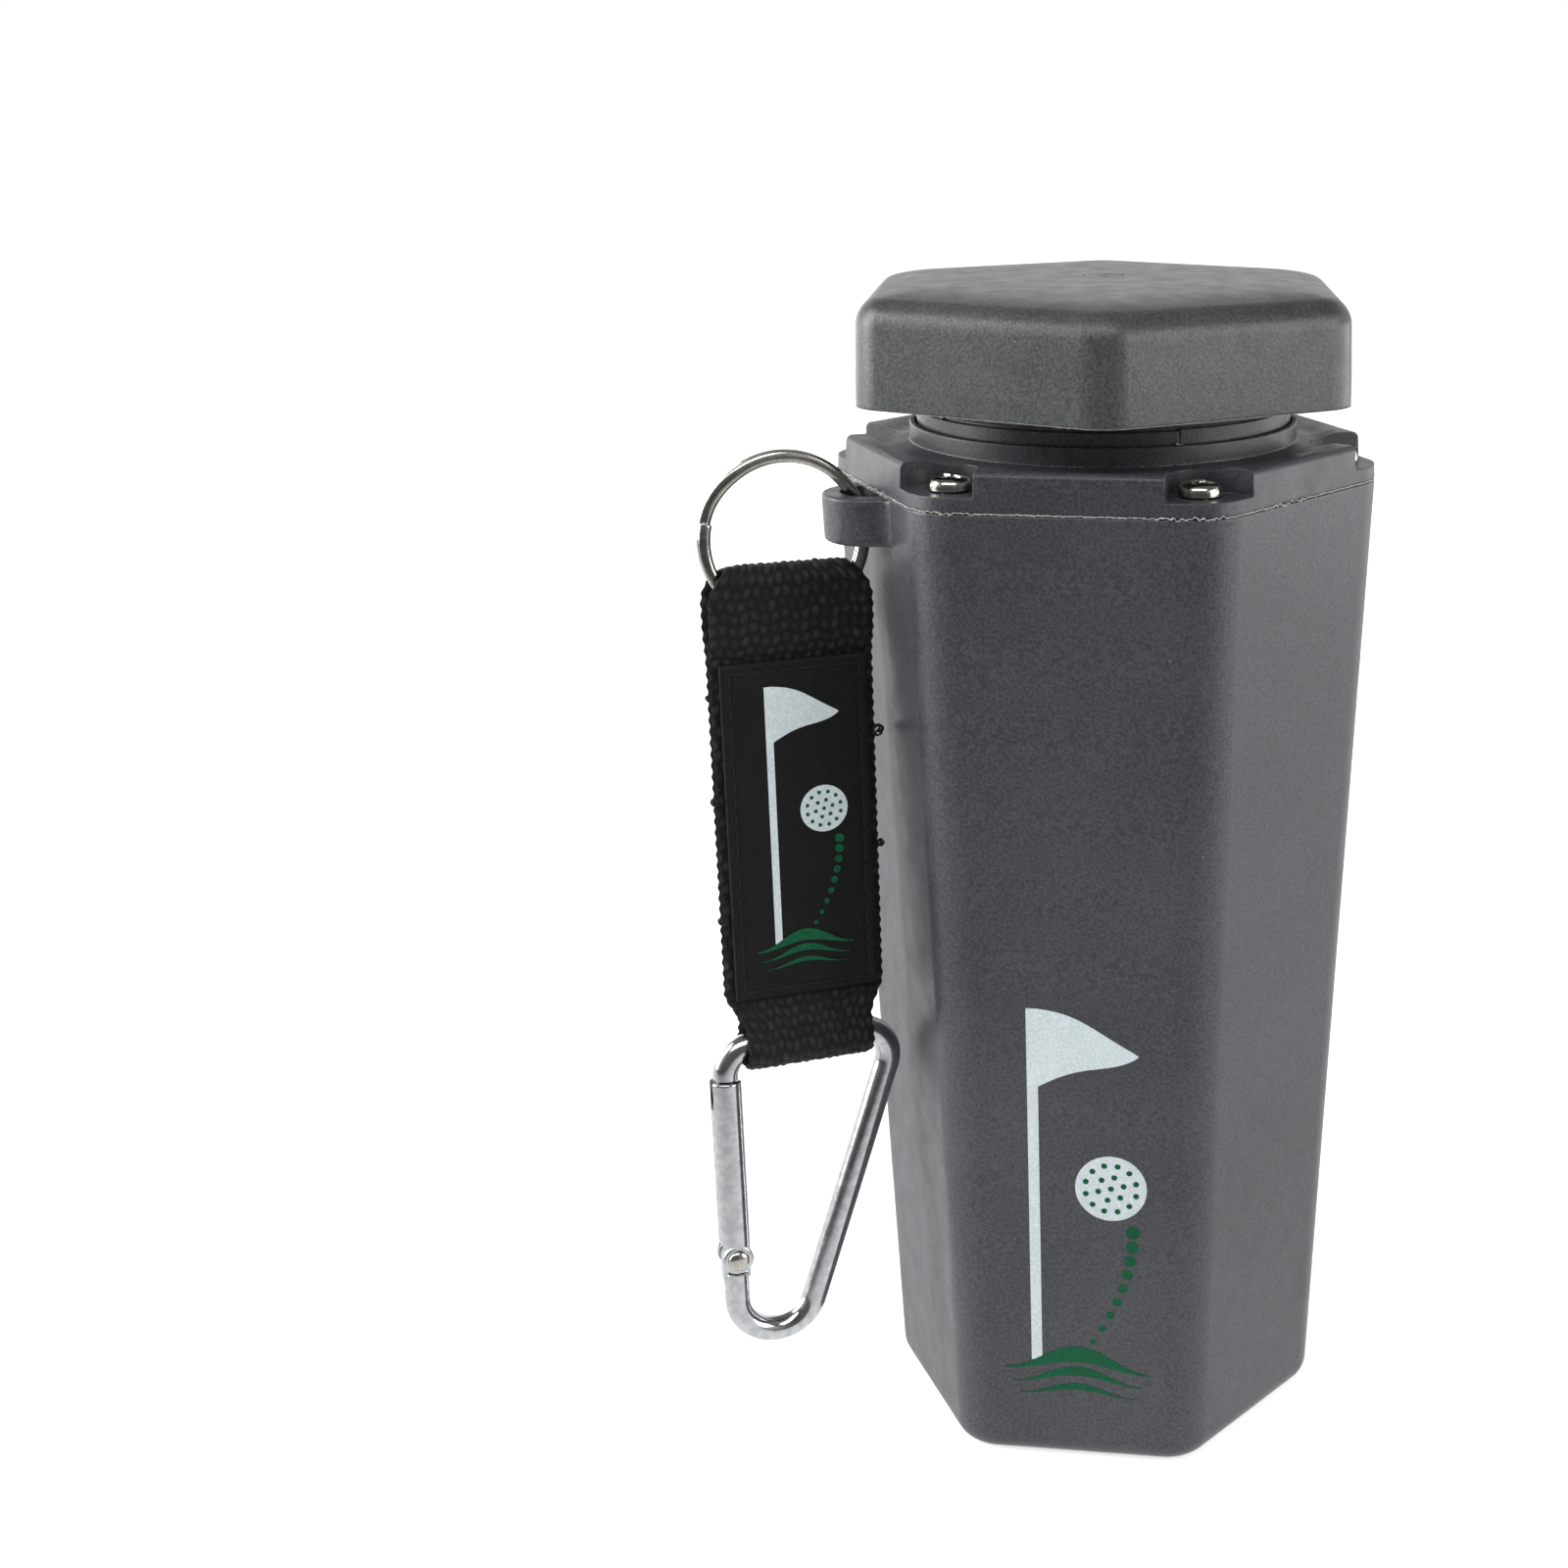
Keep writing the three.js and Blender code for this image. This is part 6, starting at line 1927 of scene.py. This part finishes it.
    def gate(self) -> Piece:
        """Round gate with a hinge slot, a latch slot and eased ends."""
        half, radius = self.hook_width / 2, self.gate_radius
        low, high = self.rivet_z, self.gate_top
        body = eased([[0, low], [radius, low], [radius, high], [0, high]], [0.0, 0.4])
        gate = tool_solid(turned_sheet(body, 48) + [half, 0, 0])
        cheek = eased([[0, -radius], [radius, -radius], [radius, radius], [0, radius]], [0.5, 0.5])
        carve(gate, [tool_solid(upright(turned_sheet(cheek, 48)) + [half, 0, low])], Carve.JOIN)
        reach = radius + OVERRUN
        hinge = strip(half - reach, half + reach, self.gate_slot / 2)
        latch = strip(half - reach, half + reach, self.latch_half)
        tools = [
            tool_solid(prism_sheet(hinge, low - reach, low + self.tongue_radius + 0.4)),
            tool_solid(prism_sheet(latch, high - self.latch_depth, high + OVERRUN)),
        ]
        carve(gate, tools, Carve.CUT)
        moved(gate, self.to_hook)
        shade(gate, 35)
        gate.name = "hook_gate_tube"
        return dress(gate, ALUMINIUM.material(), "gate", Slot.ALUMINIUM, ("hook_gate",))

    def rivet(self) -> Piece:
        """Rivet with two domed heads, turned about the local Y axis."""
        shank = self.gate_radius + 0.15
        crown = arc(0, 0, 1, 0, 90, 8) * [self.rivet_head, self.rivet_dome]
        half = np.concatenate([[[self.rivet_radius, 0], [self.rivet_radius, shank]], crown + [0, shank]])
        profile = np.concatenate([(half * [1, -1])[::-1], half[1:]])
        sheet = upright(turned_sheet(profile, 40))
        piece = mesh_piece("gate_pin", [self.to_hook(sheet + [self.hook_width / 2, 0, self.rivet_z])],
                           weighted=False)
        return dress(piece, NICKEL.material(), "hook", Slot.STEEL, ("gate_rivet",))

    def on_label(self, x: Array, z: Array, height: float) -> Array:
        """Points of the print on the label's face, at a height above it."""
        y = np.full_like(x, self.label_face + self.print_gap + height)
        return self.place(np.stack([self.ring_x - x, y, z + self.label_middle], -1))

    def build(self) -> None:
        """Makes the whole chain and the label's print."""
        self.split_ring()
        self.webbing()
        self.label()
        self.stitches()
        PrintedMotif().pieces("label_print", "strap", Slot.WEBBING, self.on_label, self.print_scale)
        self.hook()
        self.gate()
        self.rivet()


# Kept nodes, stage and light


def finish_kept_nodes() -> None:
    """Gives the CAD nodes that stay their finishes."""
    kept = {"rim_seal": RUBBER, "cap_gasket": RUBBER, "swivel_screw": NICKEL, "swivel_washer": NICKEL}
    for name, finish in kept.items():
        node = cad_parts[name]
        if not node.material_slots:
            node.data.materials.append(finish.material())
        for slot in node.material_slots:
            slot.material = finish.material()
        log.info("%s keeps its CAD shape", name)


@dataclass(frozen=True)
class Lamp:
    """Rectangular soft lamp: place and size in metres, power in watts."""

    name: str
    place: tuple[float, float, float]
    size: tuple[float, float]
    power: float

    def build(self, aim: tuple[float, float, float]) -> None:
        """Makes the lamp and turns it to look at a point."""
        data = bpy.data.lights.new(self.name, "AREA")
        data.shape = "RECTANGLE"
        data.size, data.size_y = self.size
        data.energy = self.power
        lamp = linked(self.name, data)
        lamp.location = self.place
        x, y, z = np.array(aim) - np.array(self.place)
        lamp.rotation_euler = (TURN / 4 + math.atan2(z, math.hypot(x, y)), 0, math.atan2(y, x) - TURN / 4)


@dataclass
class Stage:
    """Pale floor, white surround with a dark ceiling, five soft lamps and the photograph's camera."""

    camera_place: tuple[float, float, float] = (0.0483, -0.3619, 0.2179)
    camera_aside: float = math.atan2(0.132, 0.991)
    camera_down: float = math.radians(19.06)
    lens: float = 54.8
    shift_x: float = -0.204
    shift_y: float = 0.0502
    floor_radius: float = 3.0
    floor_glow: float = 0.7
    ambient: float = 0.2
    front_gloss: float = 0.12
    ceiling_gloss: float = 0.15
    aim: tuple[float, float, float] = (0.0, 0.0, 0.09)
    lamps: tuple[Lamp, ...] = (
        Lamp("lamp_left", (-0.85, -0.12, 0.42), (0.5, 0.8), 10.0),
        Lamp("lamp_right", (0.85, -0.2, 0.3), (0.5, 0.6), 3.2),
        Lamp("lamp_front", (0.0, -0.55, 0.8), (1.0, 0.35), 4.3),
        Lamp("lamp_back_left", (-0.7, 0.6, 0.16), (1.0, 0.3), 1.5),
        Lamp("lamp_back_right", (0.85, 0.45, 0.1), (0.8, 0.2), 1.5),
    )

    def camera(self) -> None:
        """Camera fitted to the photograph's main view."""
        data = bpy.data.cameras.new("camera")
        data.lens = self.lens
        data.sensor_width = 36
        data.shift_x = self.shift_x
        data.shift_y = self.shift_y
        data.clip_start = 0.01
        camera = linked("camera", data)
        camera.location = self.camera_place
        camera.rotation_euler = (TURN / 4 - self.camera_down, 0, self.camera_aside)
        bpy.context.scene.camera = camera

    def floor(self) -> None:
        """Round white floor that shows white to the camera and keeps the shadow."""
        angle = np.linspace(0, TURN, 97)
        radius = np.array([0.0, 0.6, 1.6, self.floor_radius])[:, None] / MM
        sheet = np.stack(np.broadcast_arrays(radius * np.cos(angle), radius * np.sin(angle), -0.05), -1)
        floor = mesh_piece("floor", [sheet], weighted=False)
        material = bpy.data.materials.new("white_floor")
        tree = blank_tree(material)
        matt = add_node(tree, "ShaderNodeBsdfDiffuse", {"Color": linear("e4e4e4")})
        place = add_node(tree, "ShaderNodeTexCoord").outputs["Object"]
        reach = add_node(tree, "ShaderNodeVectorMath", {0: place}, operation="LENGTH")
        rise = add_node(tree, "ShaderNodeMapRange", {
            "Value": reach.outputs["Value"], "From Min": 0.15, "From Max": 0.6,
            "To Min": self.floor_glow, "To Max": 1.0,
        })
        glow = add_node(tree, "ShaderNodeEmission", {"Color": WHITE, "Strength": rise.outputs["Result"]})
        seen = add_node(tree, "ShaderNodeAddShader", {0: matt.outputs[0], 1: glow.outputs[0]})
        depth = add_node(tree, "ShaderNodeSeparateXYZ", {0: place}).outputs["Y"]
        fade = add_node(tree, "ShaderNodeMapRange", {
            "Value": depth, "From Min": -0.35, "From Max": 0.0, "To Min": 0.08, "To Max": 1.0,
        })
        mirrored = add_node(tree, "ShaderNodeEmission", {
            "Color": WHITE, "Strength": fade.outputs["Result"],
        })
        rays = add_node(tree, "ShaderNodeLightPath")
        lit = add_node(tree, "ShaderNodeMixShader", {
            0: rays.outputs["Is Camera Ray"], 1: matt.outputs[0], 2: seen.outputs[0],
        })
        mixed = add_node(tree, "ShaderNodeMixShader", {
            0: rays.outputs["Is Glossy Ray"], 1: lit.outputs[0], 2: mirrored.outputs[0],
        })
        add_node(tree, "ShaderNodeOutputMaterial", {"Surface": mixed.outputs[0]})
        floor.data.materials.append(material)

    def surround(self) -> None:
        """World that is white to the eye and in reflections, and dim as a light on the object."""
        world = bpy.data.worlds.new("surround")
        tree = blank_tree(world)
        rays = add_node(tree, "ShaderNodeLightPath")
        mirror = add_node(tree, "ShaderNodeMath", {
            0: rays.outputs["Is Glossy Ray"], 1: rays.outputs["Is Transmission Ray"],
        }, operation="MAXIMUM")
        side = add_node(tree, "ShaderNodeTexCoord")
        split = add_node(tree, "ShaderNodeSeparateXYZ", {0: side.outputs["Object"]})
        front = add_node(tree, "ShaderNodeMapRange", {
            "Value": split.outputs["Y"], "From Min": -0.85, "From Max": 0.05,
            "To Min": self.front_gloss, "To Max": 1.0,
        })
        ceiling = add_node(tree, "ShaderNodeMapRange", {
            "Value": split.outputs["Z"], "From Min": 0.38, "From Max": 0.62,
            "To Min": 1.0, "To Max": self.ceiling_gloss,
        })
        shown = add_node(tree, "ShaderNodeMath", {
            0: front.outputs["Result"], 1: ceiling.outputs["Result"],
        }, operation="MULTIPLY")
        gloss = add_node(tree, "ShaderNodeBackground", {"Color": WHITE, "Strength": shown.outputs[0]})
        fill = add_node(tree, "ShaderNodeBackground", {"Color": WHITE, "Strength": self.ambient})
        white = add_node(tree, "ShaderNodeBackground", {"Color": WHITE, "Strength": 1.0})
        inner = add_node(tree, "ShaderNodeMixShader", {
            0: mirror.outputs[0], 1: fill.outputs[0], 2: gloss.outputs[0],
        })
        outer = add_node(tree, "ShaderNodeMixShader", {
            0: rays.outputs["Is Camera Ray"], 1: inner.outputs[0], 2: white.outputs[0],
        })
        add_node(tree, "ShaderNodeOutputWorld", {"Surface": outer.outputs[0]})
        bpy.context.scene.world = world

    def build(self) -> None:
        """Sets the stage."""
        self.camera()
        self.floor()
        self.surround()
        for lamp in self.lamps:
            lamp.build(self.aim)
        bpy.context.scene.view_settings.view_transform = "Standard"


def main() -> None:
    """Builds the stage and every sub-assembly."""
    logging.basicConfig(level=logging.INFO, format="%(message)s")
    Stage().build()
    cup = Cup()
    cup.build()
    cup.parting_flash()
    PrintedMotif().pieces("front_print", "washer", Slot.PLASTIC, cup.on_front)
    collar = Collar(cup)
    collar.build()
    collar.rim_flash()
    collar.seam_nubs()
    screw = PanScrew()
    turns = np.random.default_rng(2).uniform(0, TURN / 4, 6)
    for number, (place, turn) in enumerate(zip(cup.screw_places, turns), 1):
        screw.build(number, place, turn)
    brush = WireBrush()
    for number, heading in enumerate(cup.brush_headings, 1):
        brush.build(number, heading)
    cap = Cap()
    cap.shell()
    cap.insert()
    cap.edge_flash()
    Paddle().build()
    StrapChain().build()
    finish_kept_nodes()


if __name__ == "__main__":
    main()
